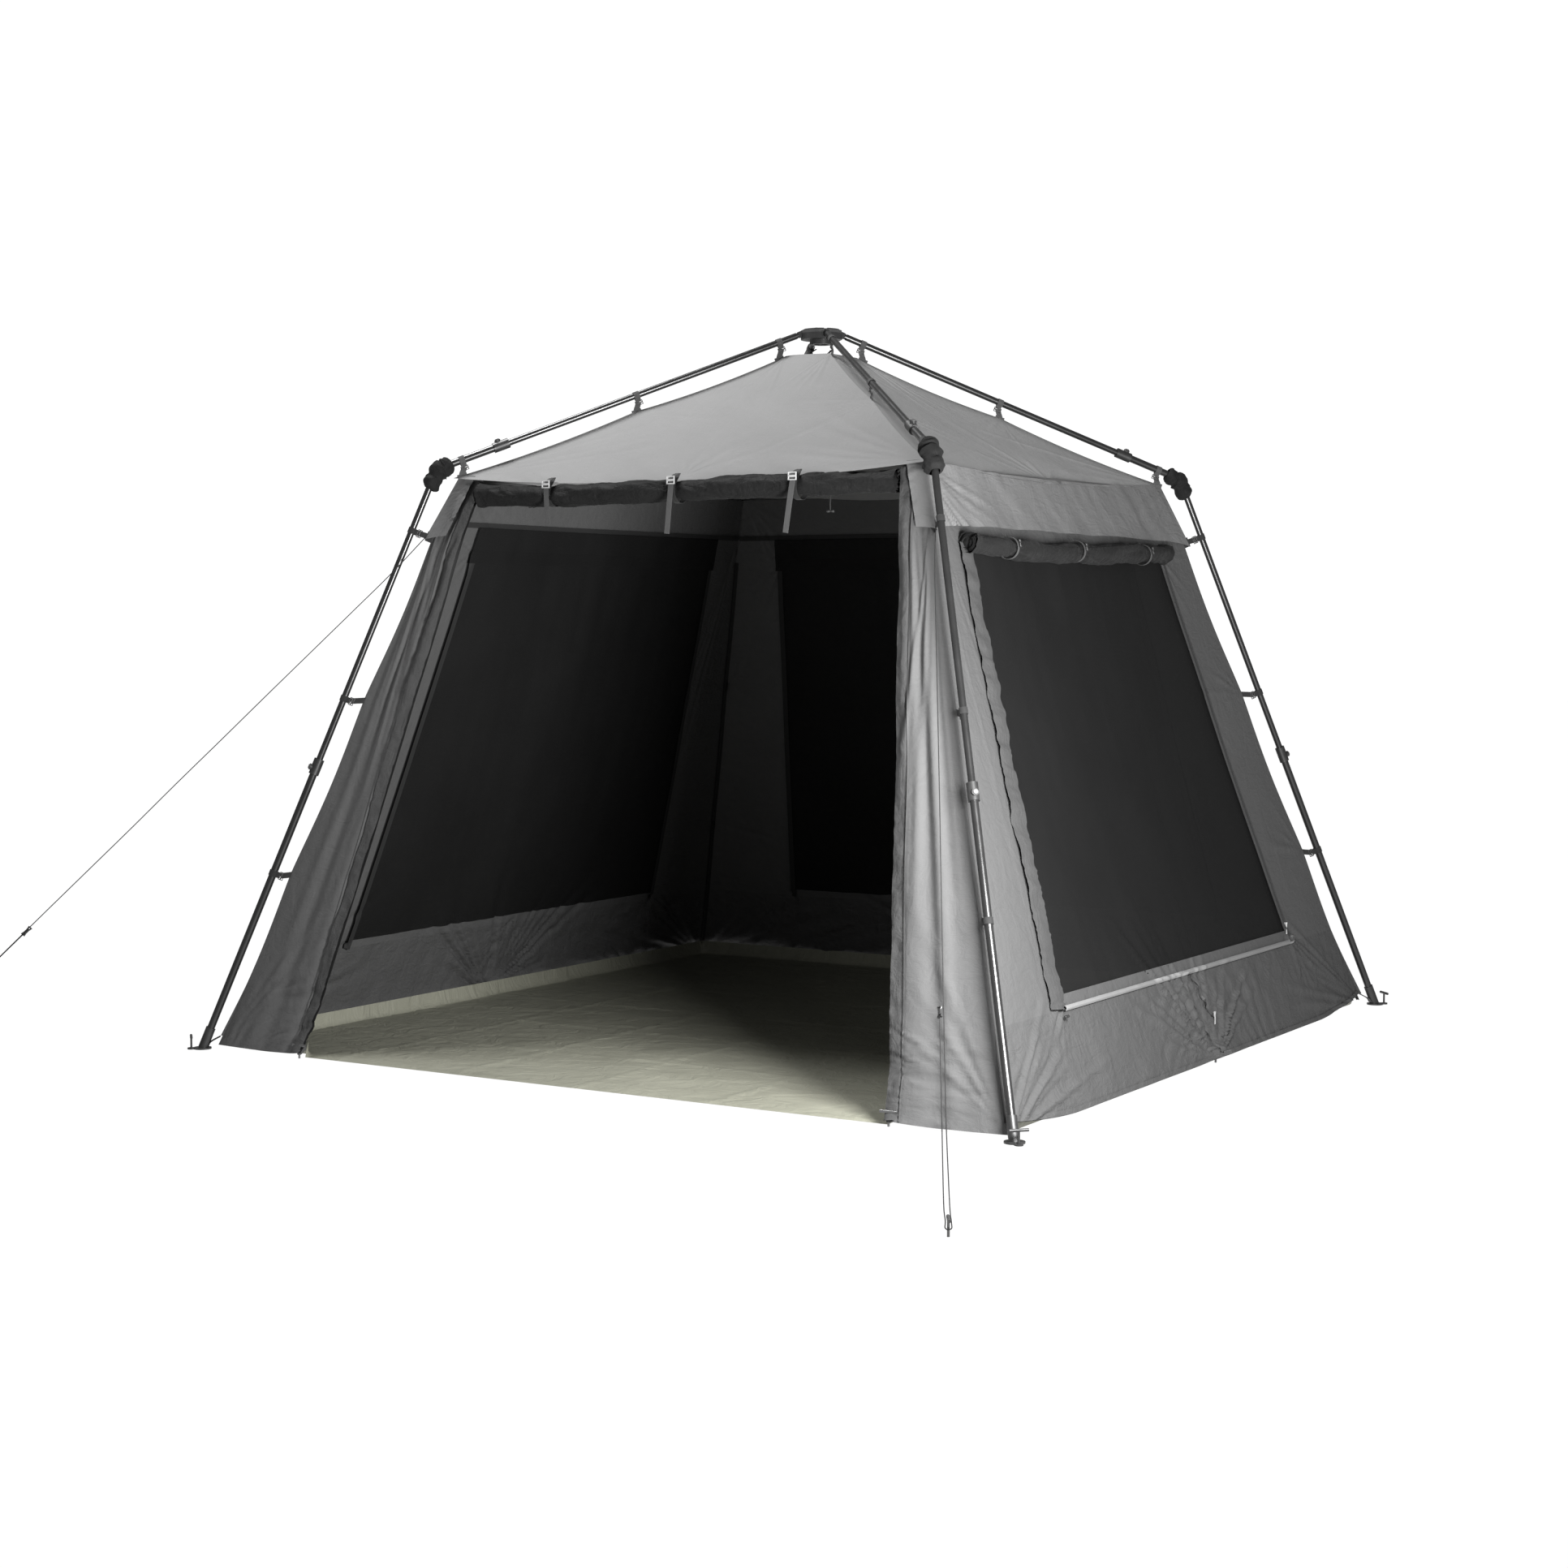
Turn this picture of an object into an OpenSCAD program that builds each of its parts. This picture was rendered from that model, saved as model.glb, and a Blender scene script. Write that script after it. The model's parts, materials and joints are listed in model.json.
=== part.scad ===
// Screen house with a folding tube frame: a central hub, four roof arms, four telescopic legs,
// a tent hung inside the frame, a groundsheet, pegs and two guy lines.
// The front wall with the doorway faces -Y. The origin is on the ground under the hub.

/* [Footprint] */
// Half of the spacing of the feet
foot_half = 1500; // [1300:10:1600]
// Half of the width of the tent at the ground
tent_half = 1465; // [1250:5:1470]
// Half of the spacing of the elbows
elbow_half = 940; // [850:5:1000]
// Half of the width of the tent at the eave
eave_half = 885; // [800:5:900]

/* [Heights] */
// Height of the arm pivots in the hub
hub_z = 2410; // [2300:5:2500]
// Height at which an arm's axis meets its leg's axis
elbow_z = 1925; // [1850:5:2000]
// Height of the eave seam
eave_z = 1905; // [1850:5:1905]
// Height of the small flat top of the tent
crown_z = 2330; // [2250:5:2335]
// Height of the lower edge of the eave band
band_z = 1700; // [1650:5:1750]

/* [Tubes] */
// Outside diameter of the thick tubes
outer_d = 25; // [24:0.5:26]
// Wall of the thick tubes
outer_wall = 1.5; // [1.2:0.1:1.5]
// Wall of the thin tubes
inner_wall = 1; // [0.8:0.1:1.2]
// Length of the thick tube of an arm
arm_outer_len = 224; // [200:2:260]
// Distance from the elbow corner to the lock of a leg
leg_lock_at = 1055; // [1000:5:1100]
// How far an arm shortens
arm_travel = 130; // [100:5:135]
// How far a leg shortens
leg_travel = 745; // [600:5:750]

/* [Hub and elbows] */
// Radius of the hub discs
hub_r = 71; // [68:1:74]
// Radius at which the arm pivots sit
pivot_r = 62; // [60:0.5:63]
// Distance from a tube's axis to its elbow pin
pin_offset = 17; // [17:0.5:18]
// Diameter of the hinge pins
pin_d = 8; // [7:0.5:8]

/* [Openings] */
// Half width of the doorway at the top
door_top_half = 800; // [700:10:820]
// Half width of the doorway at the ground
door_foot_half = 1095; // [900:5:1150]
// Half width of a window at its top edge
window_top_half = 740; // [600:10:760]
// Half width of a window at its lower edge
window_foot_half = 930; // [800:10:950]
// Height of a window's lower edge
window_low_z = 310; // [250:10:400]
// Height of a window's top edge
window_high_z = 1650; // [1500:10:1660]

/* [Soft parts] */
// Thickness of the tent's cloth solids
cloth = 4; // [3:0.5:5]
// Radius of the rolled door
door_roll_r = 42; // [30:1:45]
// Radius of the rolled window cover
window_roll_r = 28; // [20:1:30]
// Diameter of the guy line
guy_d = 3; // [2.5:0.5:4]

/* [Hidden] */
$fn = 48;
eps = 0.01;
running = 0.05;
corner_names = ["fl", "fr", "rr", "rl"];
corner_turn = [225, 315, 45, 135];

// Frame geometry in the upright plane of one corner: x is outward from the hub's axis.
elbow_r = elbow_half * sqrt(2);
foot_r = foot_half * sqrt(2);
arm_pitch = atan2(hub_z - elbow_z, elbow_r - pivot_r);
leg_pitch = atan2(elbow_z, foot_r - elbow_r);
arm_len = norm([elbow_r - pivot_r, hub_z - elbow_z]);
leg_len = norm([foot_r - elbow_r, elbow_z]);
pin_back = pin_offset / tan((180 - leg_pitch + arm_pitch) / 2);

// Radii and steps shared by the tube fittings
outer_r = outer_d / 2;
foot_tube_gap = 22;
socket_r = outer_r - outer_wall;
inner_r = socket_r - running;
inner_bore_r = inner_r - inner_wall;
pin_r = pin_d / 2;
pin_hole_r = pin_r + running;
tube_gap = 26;
plug_len = 30;
flange_len = 6;
flange_r = 13.5;
tongue_half = 6;
cheek_in = 6.4;
cheek_out = 11;
link_r = 10;
arm_spare = 4;
leg_spare = 170;
arm_overlap = arm_outer_len - plug_len - arm_travel - arm_spare;
leg_overlap = leg_len - foot_tube_gap - leg_lock_at - leg_travel - leg_spare;
arm_mouth = arm_len - tube_gap - arm_outer_len;

// Lock collar and its push button
collar_r = 17;
collar_len = 45;
collar_lip = 10;
boss_at = 24;
boss_r = 10.5;
boss_top = 23;
button_r = 7;
button_clear = 0.3;
pocket_floor = 16;
button_low = 19;
button_top = 26;

// Hub shell
disc_up = 14;
disc_down = 22;
cup_r = 40;
cup_down = 38;
slot_w = 13;
slot_in = 44;
tongue_r = 11;
hub_tube_at = 28;
bolt_ring = 34;
bolt_r = 2.5;
bolt_head_r = 5;
bolt_head_h = 3.5;

// Feet and pegs
sole_r = 30;
sole_h = 5;
eyelet_at = 36;
eyelet_r = 13;
eyelet_hole = 4.3;
boot_r = 16;
boot_len = 75;
peg_r = 3.5;
peg_h = 42;
peg_bar_r = 4.5;
peg_bar = 56;

// Tent walls: each leans in by wall_lean and stands inside the eave band.
wall_top_half = eave_half - 20;
wall_top_z = eave_z - 15;
wall_lean = atan2(tent_half - wall_top_half, wall_top_z);
wall_len = norm([tent_half - wall_top_half, wall_top_z]);
crown_half = 90;
band_half = eave_half + 75;
seam_gap = 5;
sheet_half = 1440;
sheet_h = 3;

function wall_up(z) = z / cos(wall_lean);
function wall_half(z) = tent_half - z * tan(wall_lean);

// Guy line route: from a tip of the eave band down to its peg, round it, and back up to the runner.
guy_front_route = [
    [966, -968, 1700], [1023, -1079, 1577], [1095, -1207, 1441], [1167, -1335, 1306],
    [1239, -1463, 1171], [1311, -1591, 1035], [1383, -1719, 900], [1454, -1846, 764],
    [1526, -1974, 629], [1598, -2102, 494], [1670, -2230, 358], [1742, -2358, 223],
    [1798, -2453, 122], [1836, -2516, 56], [1849, -2534, 34], [1857, -2546, 23],
    [1858, -2552, 20], [1854, -2558, 19], [1848, -2558, 20], [1843, -2554, 23],
    [1837, -2541, 34], [1822, -2520, 59], [1787, -2459, 126], [1733, -2363, 225],
    [1661, -2235, 360], [1612, -2147, 452]
];
guy_left_route = [for (p = guy_front_route) [-p[0], p[1], p[2]]];
guy_peg_at = [1850, -2550, 0];

// ---- Helpers -------------------------------------------------------------------------------

// Places a corner's own parts: their x is outward, y along the ring, z up.
module at_corner(turn) {
    rotate([0, 0, turn]) children();
}

// Arm frame: z runs from the hub pivot down the arm, x points to the arm's underside.
module on_arm() {
    translate([pivot_r, 0, hub_z]) rotate([0, 90 + arm_pitch, 0]) children();
}

// Leg frame: z runs from the elbow corner down the leg, x points to the inside of the frame.
module on_leg() {
    translate([elbow_r, 0, elbow_z]) rotate([0, 90 + leg_pitch, 0]) children();
}

module tube(r_out, r_in, from, to) {
    translate([0, 0, from]) difference() {
        cylinder(r = r_out, h = to - from);
        translate([0, 0, -1]) cylinder(r = r_in, h = to - from + 2);
    }
}

// A flat bar with round ends between two points of the x-z plane.
module link(a, b, r, y_from, y_to) {
    span = norm(b - a);
    heading = atan2(b[1] - a[1], b[0] - a[0]);
    translate([0, y_to, 0]) rotate([90, 0, 0]) linear_extrude(y_to - y_from) {
        translate(a) circle(r);
        translate(b) circle(r);
        translate(a) rotate(heading) translate([0, -r]) square([span, 2 * r]);
    }
}

module cross_pin(x, z, r, half) {
    translate([x, half, z]) rotate([90, 0, 0]) cylinder(r = r, h = 2 * half);
}

// A truncated square pyramid on the hub's axis.
module pyramid(half_a, z_a, half_b, z_b) {
    polyhedron(
        points = [
            [-half_a, -half_a, z_a], [half_a, -half_a, z_a], [half_a, half_a, z_a], [-half_a, half_a, z_a],
            [-half_b, -half_b, z_b], [half_b, -half_b, z_b], [half_b, half_b, z_b], [-half_b, half_b, z_b]
        ],
        faces = [[0, 1, 2, 3], [7, 6, 5, 4], [4, 5, 1, 0], [5, 6, 2, 1], [6, 7, 3, 2], [7, 4, 0, 3]]
    );
}

// ---- Hub -----------------------------------------------------------------------------------

module hub_slots() {
    for (turn = corner_turn) at_corner(turn) {
        translate([slot_in, -slot_w / 2, hub_z - disc_down - 1])
            cube([hub_r, slot_w, disc_up + disc_down + 2]);
        cross_pin(pivot_r, hub_z, pin_hole_r, 22);
    }
}

module hub_bolt_holes() {
    for (turn = [0:90:270]) rotate([0, 0, turn])
        translate([bolt_ring, 0, hub_z - cup_down - 1]) cylinder(r = bolt_r + running, h = 100);
}

module hub_top() {
    color("dimgray") difference() {
        union() {
            translate([0, 0, hub_z]) cylinder(r = hub_r, h = disc_up - 4);
            translate([0, 0, hub_z + disc_up - 4]) cylinder(r = hub_r - 8, h = 4);
        }
        hub_slots();
        hub_bolt_holes();
    }
}

module hub_cup() {
    color("#202020") difference() {
        union() {
            translate([0, 0, hub_z - disc_down]) cylinder(r = hub_r, h = disc_down);
            translate([0, 0, hub_z - cup_down]) cylinder(r = cup_r, h = cup_down - disc_down);
        }
        translate([0, 0, hub_z - cup_down - 1]) cylinder(r = bolt_ring - 8, h = cup_down - disc_down + 1);
        hub_slots();
        hub_bolt_holes();
    }
}

// Four hinge pins, and four bolts that clamp the two hub shells on them.
module hub_pins() {
    color("silver") {
        for (turn = corner_turn) at_corner(turn) cross_pin(pivot_r, hub_z, pin_r, 21);
        for (turn = [0:90:270]) rotate([0, 0, turn]) translate([bolt_ring, 0, hub_z]) {
            translate([0, 0, -cup_down + 4]) cylinder(r = bolt_r, h = cup_down + disc_up - 4 + eps);
            translate([0, 0, disc_up]) cylinder(r = bolt_head_r, h = bolt_head_h);
        }
    }
}

// ---- Roof arm ------------------------------------------------------------------------------

// Thin tube with the tongue that turns in the hub.
module arm_inner(turn) {
    color("#151515") at_corner(turn) on_arm() {
        tube(inner_r, inner_bore_r, hub_tube_at, arm_mouth + arm_overlap);
        difference() {
            union() {
                link([0, 0], [0, hub_tube_at - tongue_r], tongue_r, -tongue_half, tongue_half);
                translate([0, 0, hub_tube_at - 6]) cylinder(r = tongue_half + 3, h = 6);
                translate([0, 0, hub_tube_at]) cylinder(r = inner_bore_r, h = plug_len);
            }
            cross_pin(0, 0, pin_hole_r, 20);
        }
    }
}

module arm_outer(turn) {
    color("#151515") at_corner(turn) on_arm()
        tube(outer_r, socket_r, arm_mouth, arm_len - tube_gap);
}

// Collar on the mouth of a thick tube, with a boss for its push button on the outer side.
module lock_collar(mouth) {
    difference() {
        union() {
            translate([0, 0, mouth - collar_lip]) cylinder(r = collar_r, h = collar_len + collar_lip);
            translate([0, 0, mouth + boss_at]) rotate([0, -90, 0]) cylinder(r = boss_r, h = boss_top);
        }
        translate([0, 0, mouth - collar_lip - 1]) cylinder(r = socket_r + running, h = collar_lip + 2);
        translate([0, 0, mouth]) cylinder(r = outer_r, h = collar_len + 1);
        translate([-pocket_floor, 0, mouth + boss_at]) rotate([0, -90, 0])
            cylinder(r = button_r + button_clear, h = boss_top);
    }
}

module push_button(mouth) {
    translate([-button_low, 0, mouth + boss_at]) rotate([0, -90, 0])
        cylinder(r = button_r, h = button_top - button_low);
}

module arm_lock(turn) {
    color("#1c1c1c") at_corner(turn) on_arm() lock_collar(arm_mouth);
}

module arm_button(turn) {
    color("#303030") at_corner(turn) on_arm() push_button(arm_mouth);
}

// Fork on the thick end of an arm, with the elbow pin through its two cheeks.
module elbow_upper(turn) {
    pin_z = arm_len - pin_back;
    flange_z = arm_len - tube_gap;
    color("#1c1c1c") at_corner(turn) on_arm() {
        difference() {
            union() {
                translate([0, 0, flange_z - plug_len]) cylinder(r = socket_r, h = plug_len);
                translate([0, 0, flange_z]) cylinder(r = flange_r, h = flange_len);
                for (side = [[cheek_in, cheek_out], [-cheek_out, -cheek_in]])
                    link([pin_offset, pin_z], [0, flange_z + link_r], link_r, side[0], side[1]);
            }
            cross_pin(pin_offset, pin_z, pin_hole_r, 20);
        }
        cross_pin(pin_offset, pin_z, pin_r, cheek_out + 2);
    }
}

// ---- Leg -----------------------------------------------------------------------------------

// Tongue on the thin end of a leg, turning on the elbow pin.
module elbow_lower(turn) {
    color("#1c1c1c") at_corner(turn) on_leg() difference() {
        union() {
            link([pin_offset, pin_back], [0, tube_gap - link_r], link_r, -tongue_half, tongue_half);
            translate([0, 0, tube_gap - flange_len]) cylinder(r = flange_r, h = flange_len);
            translate([0, 0, tube_gap]) cylinder(r = inner_bore_r, h = plug_len);
        }
        cross_pin(pin_offset, pin_back, pin_hole_r, 20);
    }
}

module leg_upper(turn) {
    color("#151515") at_corner(turn) on_leg()
        tube(inner_r, inner_bore_r, tube_gap, leg_lock_at + leg_overlap);
}

module leg_lower(turn) {
    color("#151515") at_corner(turn) on_leg()
        tube(outer_r, socket_r, leg_lock_at, leg_len - foot_tube_gap);
}

module leg_lock(turn) {
    color("#1c1c1c") at_corner(turn) on_leg() lock_collar(leg_lock_at);
}

module leg_button(turn) {
    color("#303030") at_corner(turn) on_leg() push_button(leg_lock_at);
}

// A peg's part above the ground: a shaft with a crossbar.
module peg(turn) {
    rotate([0, 0, turn]) {
        cylinder(r = peg_r, h = peg_h);
        translate([0, -peg_bar / 2, peg_h]) rotate([-90, 0, 0]) cylinder(r = peg_bar_r, h = peg_bar);
    }
}

// Boot round the end of the leg, a sole on the ground, and an eyelet with its peg.
module foot(turn) {
    color("#1c1c1c") at_corner(turn) {
        difference() {
            union() {
                on_leg() translate([0, 0, leg_len - boot_len]) cylinder(r = boot_r, h = boot_len + 12);
                translate([foot_r, 0, 0]) cylinder(r = sole_r, h = sole_h);
                translate([foot_r + eyelet_at, 0, 0]) cylinder(r = eyelet_r, h = sole_h);
            }
            on_leg() translate([0, 0, leg_len - boot_len - 1])
                cylinder(r = outer_r, h = boot_len - foot_tube_gap + 1);
            translate([foot_r + eyelet_at, 0, -1]) cylinder(r = eyelet_hole, h = sole_h + 2);
            translate([foot_r - 100, -50, -100]) cube([200, 100, 100]);
        }
        translate([foot_r + eyelet_at, 0, 0]) peg(0);
    }
}

// ---- Tent ----------------------------------------------------------------------------------

// Roof with its eave band. The band is missing above the doorway.
module roof() {
    color("gray") difference() {
        union() {
            pyramid(eave_half, eave_z, crown_half, crown_z);
            pyramid(band_half, band_z, eave_half + eps, eave_z);
        }
        translate([0, 0, -cloth]) pyramid(eave_half + eps, eave_z, crown_half - cloth, crown_z);
        pyramid(band_half - cloth + 1, band_z - 1, eave_half - cloth, eave_z - cloth + eps);
        translate([-door_top_half - 30, -band_half - 5, band_z - 5])
            cube([2 * door_top_half + 60, band_half - eave_half + 3, eave_z - band_z]);
    }
}

// A leaning wall plane: x along the wall, y up its slope, its outer face towards -Y.
module on_wall(turn) {
    rotate([0, 0, turn]) translate([0, -tent_half, 0]) rotate([90 - wall_lean, 0, 0]) children();
}

function wall_outline() = [
    [-tent_half + seam_gap, 0], [tent_half - seam_gap, 0],
    [wall_top_half - seam_gap, wall_len], [-wall_top_half + seam_gap, wall_len]
];

function window_outline(gap) = [
    [-window_foot_half + gap, wall_up(window_low_z) + gap], [window_foot_half - gap, wall_up(window_low_z) + gap],
    [window_top_half - gap, wall_up(window_high_z) - gap], [-window_top_half + gap, wall_up(window_high_z) - gap]
];

module wall_with_window(turn) {
    color("dimgray") on_wall(turn) difference() {
        linear_extrude(cloth) polygon(wall_outline());
        translate([0, 0, -1]) linear_extrude(cloth + 2) polygon(window_outline(0));
    }
}

// Two wings beside the doorway.
module wall_front() {
    color("gray") on_wall(0) difference() {
        linear_extrude(cloth) polygon(wall_outline());
        translate([0, 0, -1]) linear_extrude(cloth + 2) polygon([
            [-door_foot_half, -1], [door_foot_half, -1],
            [door_top_half, wall_len + 1], [-door_top_half, wall_len + 1]
        ]);
    }
}

module window_meshes() {
    color("#282828") for (turn = [90, 180, 270]) on_wall(turn)
        translate([0, 0, 1]) linear_extrude(cloth / 2) polygon(window_outline(0.5));
}

module door_roll() {
    roll_z = eave_z - 75;
    color("#505050") translate([-door_top_half + 5, -wall_half(roll_z) - 8, roll_z])
        rotate([0, 90, 0]) cylinder(r = door_roll_r, h = 2 * door_top_half - 10);
}

module window_roll() {
    roll_z = window_high_z - 6;
    out = (window_roll_r + cloth + 1) / cos(wall_lean);
    color("#484848") translate([wall_half(roll_z) + out, -window_top_half - 30, roll_z])
        rotate([-90, 0, 0]) cylinder(r = window_roll_r, h = 2 * window_top_half + 60);
}

module groundsheet() {
    color("#50503c") translate([-sheet_half, -sheet_half, 0])
        cube([2 * sheet_half, 2 * sheet_half, sheet_h]);
}

// Pegs of the hem: two at the doorway and one in the middle of each other wall.
module hem_pegs() {
    out = tent_half + 12;
    color("#2a2a2a") {
        for (x = [-door_foot_half, door_foot_half]) translate([x, -out, 0]) peg(90);
        for (turn = [90, 180, 270]) rotate([0, 0, turn]) translate([0, -out, 0]) peg(90);
    }
}

module guy_pegs() {
    color("#2a2a2a") {
        for (side = [-1, 1]) translate([side * guy_peg_at[0], guy_peg_at[1], 0]) peg(side * 30);
    }
}

// ---- Guy lines -----------------------------------------------------------------------------

function unit(v) = v / norm(v);
function heading_at(route, i) =
    unit(route[min(i + 1, len(route) - 1)] - route[max(i - 1, 0)]);
function ring(route, i, r, sides) =
    let (t = heading_at(route, i), u = unit(cross(t, [0, 1, 0.2])), v = cross(t, u))
    [for (k = [0:sides - 1]) route[i] + r * (cos(360 * k / sides) * u + sin(360 * k / sides) * v)];

module swept_cord(route, r) {
    sides = 8;
    last = len(route) - 1;
    polyhedron(
        points = [for (i = [0:last]) each ring(route, i, r, sides)],
        faces = concat(
            [[for (k = [0:sides - 1]) k]],
            [[for (k = [sides - 1:-1:0]) last * sides + k]],
            [for (i = [0:last - 1], k = [0:sides - 1]) let (n = (k + 1) % sides)
                [i * sides + k, (i + 1) * sides + k, (i + 1) * sides + n]],
            [for (i = [0:last - 1], k = [0:sides - 1]) let (n = (k + 1) % sides)
                [i * sides + k, (i + 1) * sides + n, i * sides + n]]
        )
    );
}

module guy_left() {
    color("#202020") swept_cord(guy_left_route, guy_d / 2);
}

module guy_front() {
    color("#202020") swept_cord(guy_front_route, guy_d / 2);
}

// ---- Assembly ------------------------------------------------------------------------------

hub_top();
hub_cup();
hub_pins();
for (i = [0:3]) {
    arm_inner(corner_turn[i]);
    arm_outer(corner_turn[i]);
    arm_lock(corner_turn[i]);
    arm_button(corner_turn[i]);
    elbow_upper(corner_turn[i]);
    elbow_lower(corner_turn[i]);
    leg_upper(corner_turn[i]);
    leg_lower(corner_turn[i]);
    leg_lock(corner_turn[i]);
    leg_button(corner_turn[i]);
    foot(corner_turn[i]);
}
roof();
wall_front();
wall_with_window(270);  // wall_left
wall_with_window(90);  // wall_right
wall_with_window(180);  // wall_rear
window_meshes();
door_roll();
window_roll();
groundsheet();
hem_pegs();
guy_pegs();
guy_left();
guy_front();
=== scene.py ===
"""Screen house: cloth, webbing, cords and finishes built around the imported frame.

The tent hangs inside a folding tube frame. The doorway faces -Y, the window with the rolled cover faces +X.
Every size is in metres.
"""

import json
import logging
import math
from collections.abc import Callable, Sequence
from dataclasses import dataclass, field
from enum import Enum

import bpy
import numpy as np
from mathutils import Matrix, Vector

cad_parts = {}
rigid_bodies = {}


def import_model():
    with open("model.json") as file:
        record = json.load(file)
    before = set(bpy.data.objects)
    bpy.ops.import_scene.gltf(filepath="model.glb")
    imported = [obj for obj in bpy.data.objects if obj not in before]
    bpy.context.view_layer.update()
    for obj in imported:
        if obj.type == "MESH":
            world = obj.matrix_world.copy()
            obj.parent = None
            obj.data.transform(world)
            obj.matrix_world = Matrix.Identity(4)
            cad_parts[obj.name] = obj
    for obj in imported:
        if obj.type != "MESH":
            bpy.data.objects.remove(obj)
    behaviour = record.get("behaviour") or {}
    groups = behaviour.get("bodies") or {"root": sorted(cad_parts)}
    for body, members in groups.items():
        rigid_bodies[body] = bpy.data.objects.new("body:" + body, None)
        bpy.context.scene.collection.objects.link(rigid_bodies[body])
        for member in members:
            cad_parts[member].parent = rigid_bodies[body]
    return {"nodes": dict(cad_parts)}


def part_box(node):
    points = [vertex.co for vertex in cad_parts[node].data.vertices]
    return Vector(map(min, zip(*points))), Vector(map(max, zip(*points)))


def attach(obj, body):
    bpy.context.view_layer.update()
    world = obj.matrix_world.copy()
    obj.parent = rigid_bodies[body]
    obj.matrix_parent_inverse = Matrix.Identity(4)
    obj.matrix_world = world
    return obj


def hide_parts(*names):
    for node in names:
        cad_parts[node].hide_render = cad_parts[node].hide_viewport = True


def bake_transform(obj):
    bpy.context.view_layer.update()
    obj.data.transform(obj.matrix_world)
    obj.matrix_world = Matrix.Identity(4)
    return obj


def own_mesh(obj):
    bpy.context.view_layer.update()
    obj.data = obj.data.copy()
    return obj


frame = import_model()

logging.basicConfig(level=logging.INFO, format="%(message)s")
log = logging.getLogger("screen_house")

Array = np.ndarray
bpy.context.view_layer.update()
UV_NAME = "cloth"


# ---- Places ---------------------------------------------------------------------------------


class Corner(Enum):
    """The four corners, each by the turn of its upright plane about the hub's axis, in degrees."""

    FL = 225
    FR = 315
    RR = 45
    RL = 135

    @property
    def code(self) -> str:
        """The corner's short name in the names of bodies and pieces."""
        return self.name.lower()

    @property
    def outward(self) -> Array:
        """Level direction from the hub's axis to the corner."""
        turn = math.radians(self.value)
        return np.array([math.cos(turn), math.sin(turn), 0.0])

    @property
    def along_ring(self) -> Array:
        """Level direction across the corner's upright plane."""
        turn = math.radians(self.value)
        return np.array([-math.sin(turn), math.cos(turn), 0.0])

    def at(self, radial: float, height: float) -> Array:
        """Point of the corner's upright plane at that distance from the axis and that height."""
        return self.outward * radial + np.array([0.0, 0.0, height])


class Side(Enum):
    """The four sides, each by its turn from the front, in degrees."""

    FRONT = 0
    RIGHT = 90
    REAR = 180
    LEFT = 270

    @property
    def code(self) -> str:
        """The side's name in the names of pieces."""
        return self.name.lower()

    def to_room(self, points: Array) -> Array:
        """Turns points of the front side to this side."""
        turn = math.radians(self.value)
        c, s = math.cos(turn), math.sin(turn)
        return np.asarray(points, float) @ np.array([[c, s, 0], [-s, c, 0], [0, 0, 1]])

    def corner(self, half: int) -> Corner:
        """The corner at the left (-1) or right (+1) end, seen from outside."""
        ring = [Corner.FL, Corner.FR, Corner.RR, Corner.RL]
        return ring[(self.value // 90 + (half > 0)) % 4]


class Level(Enum):
    """The part of a wall that goes with the upper or the lower tube of a leg."""

    UPPER = "upper"
    LOWER = "lower"


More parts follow.
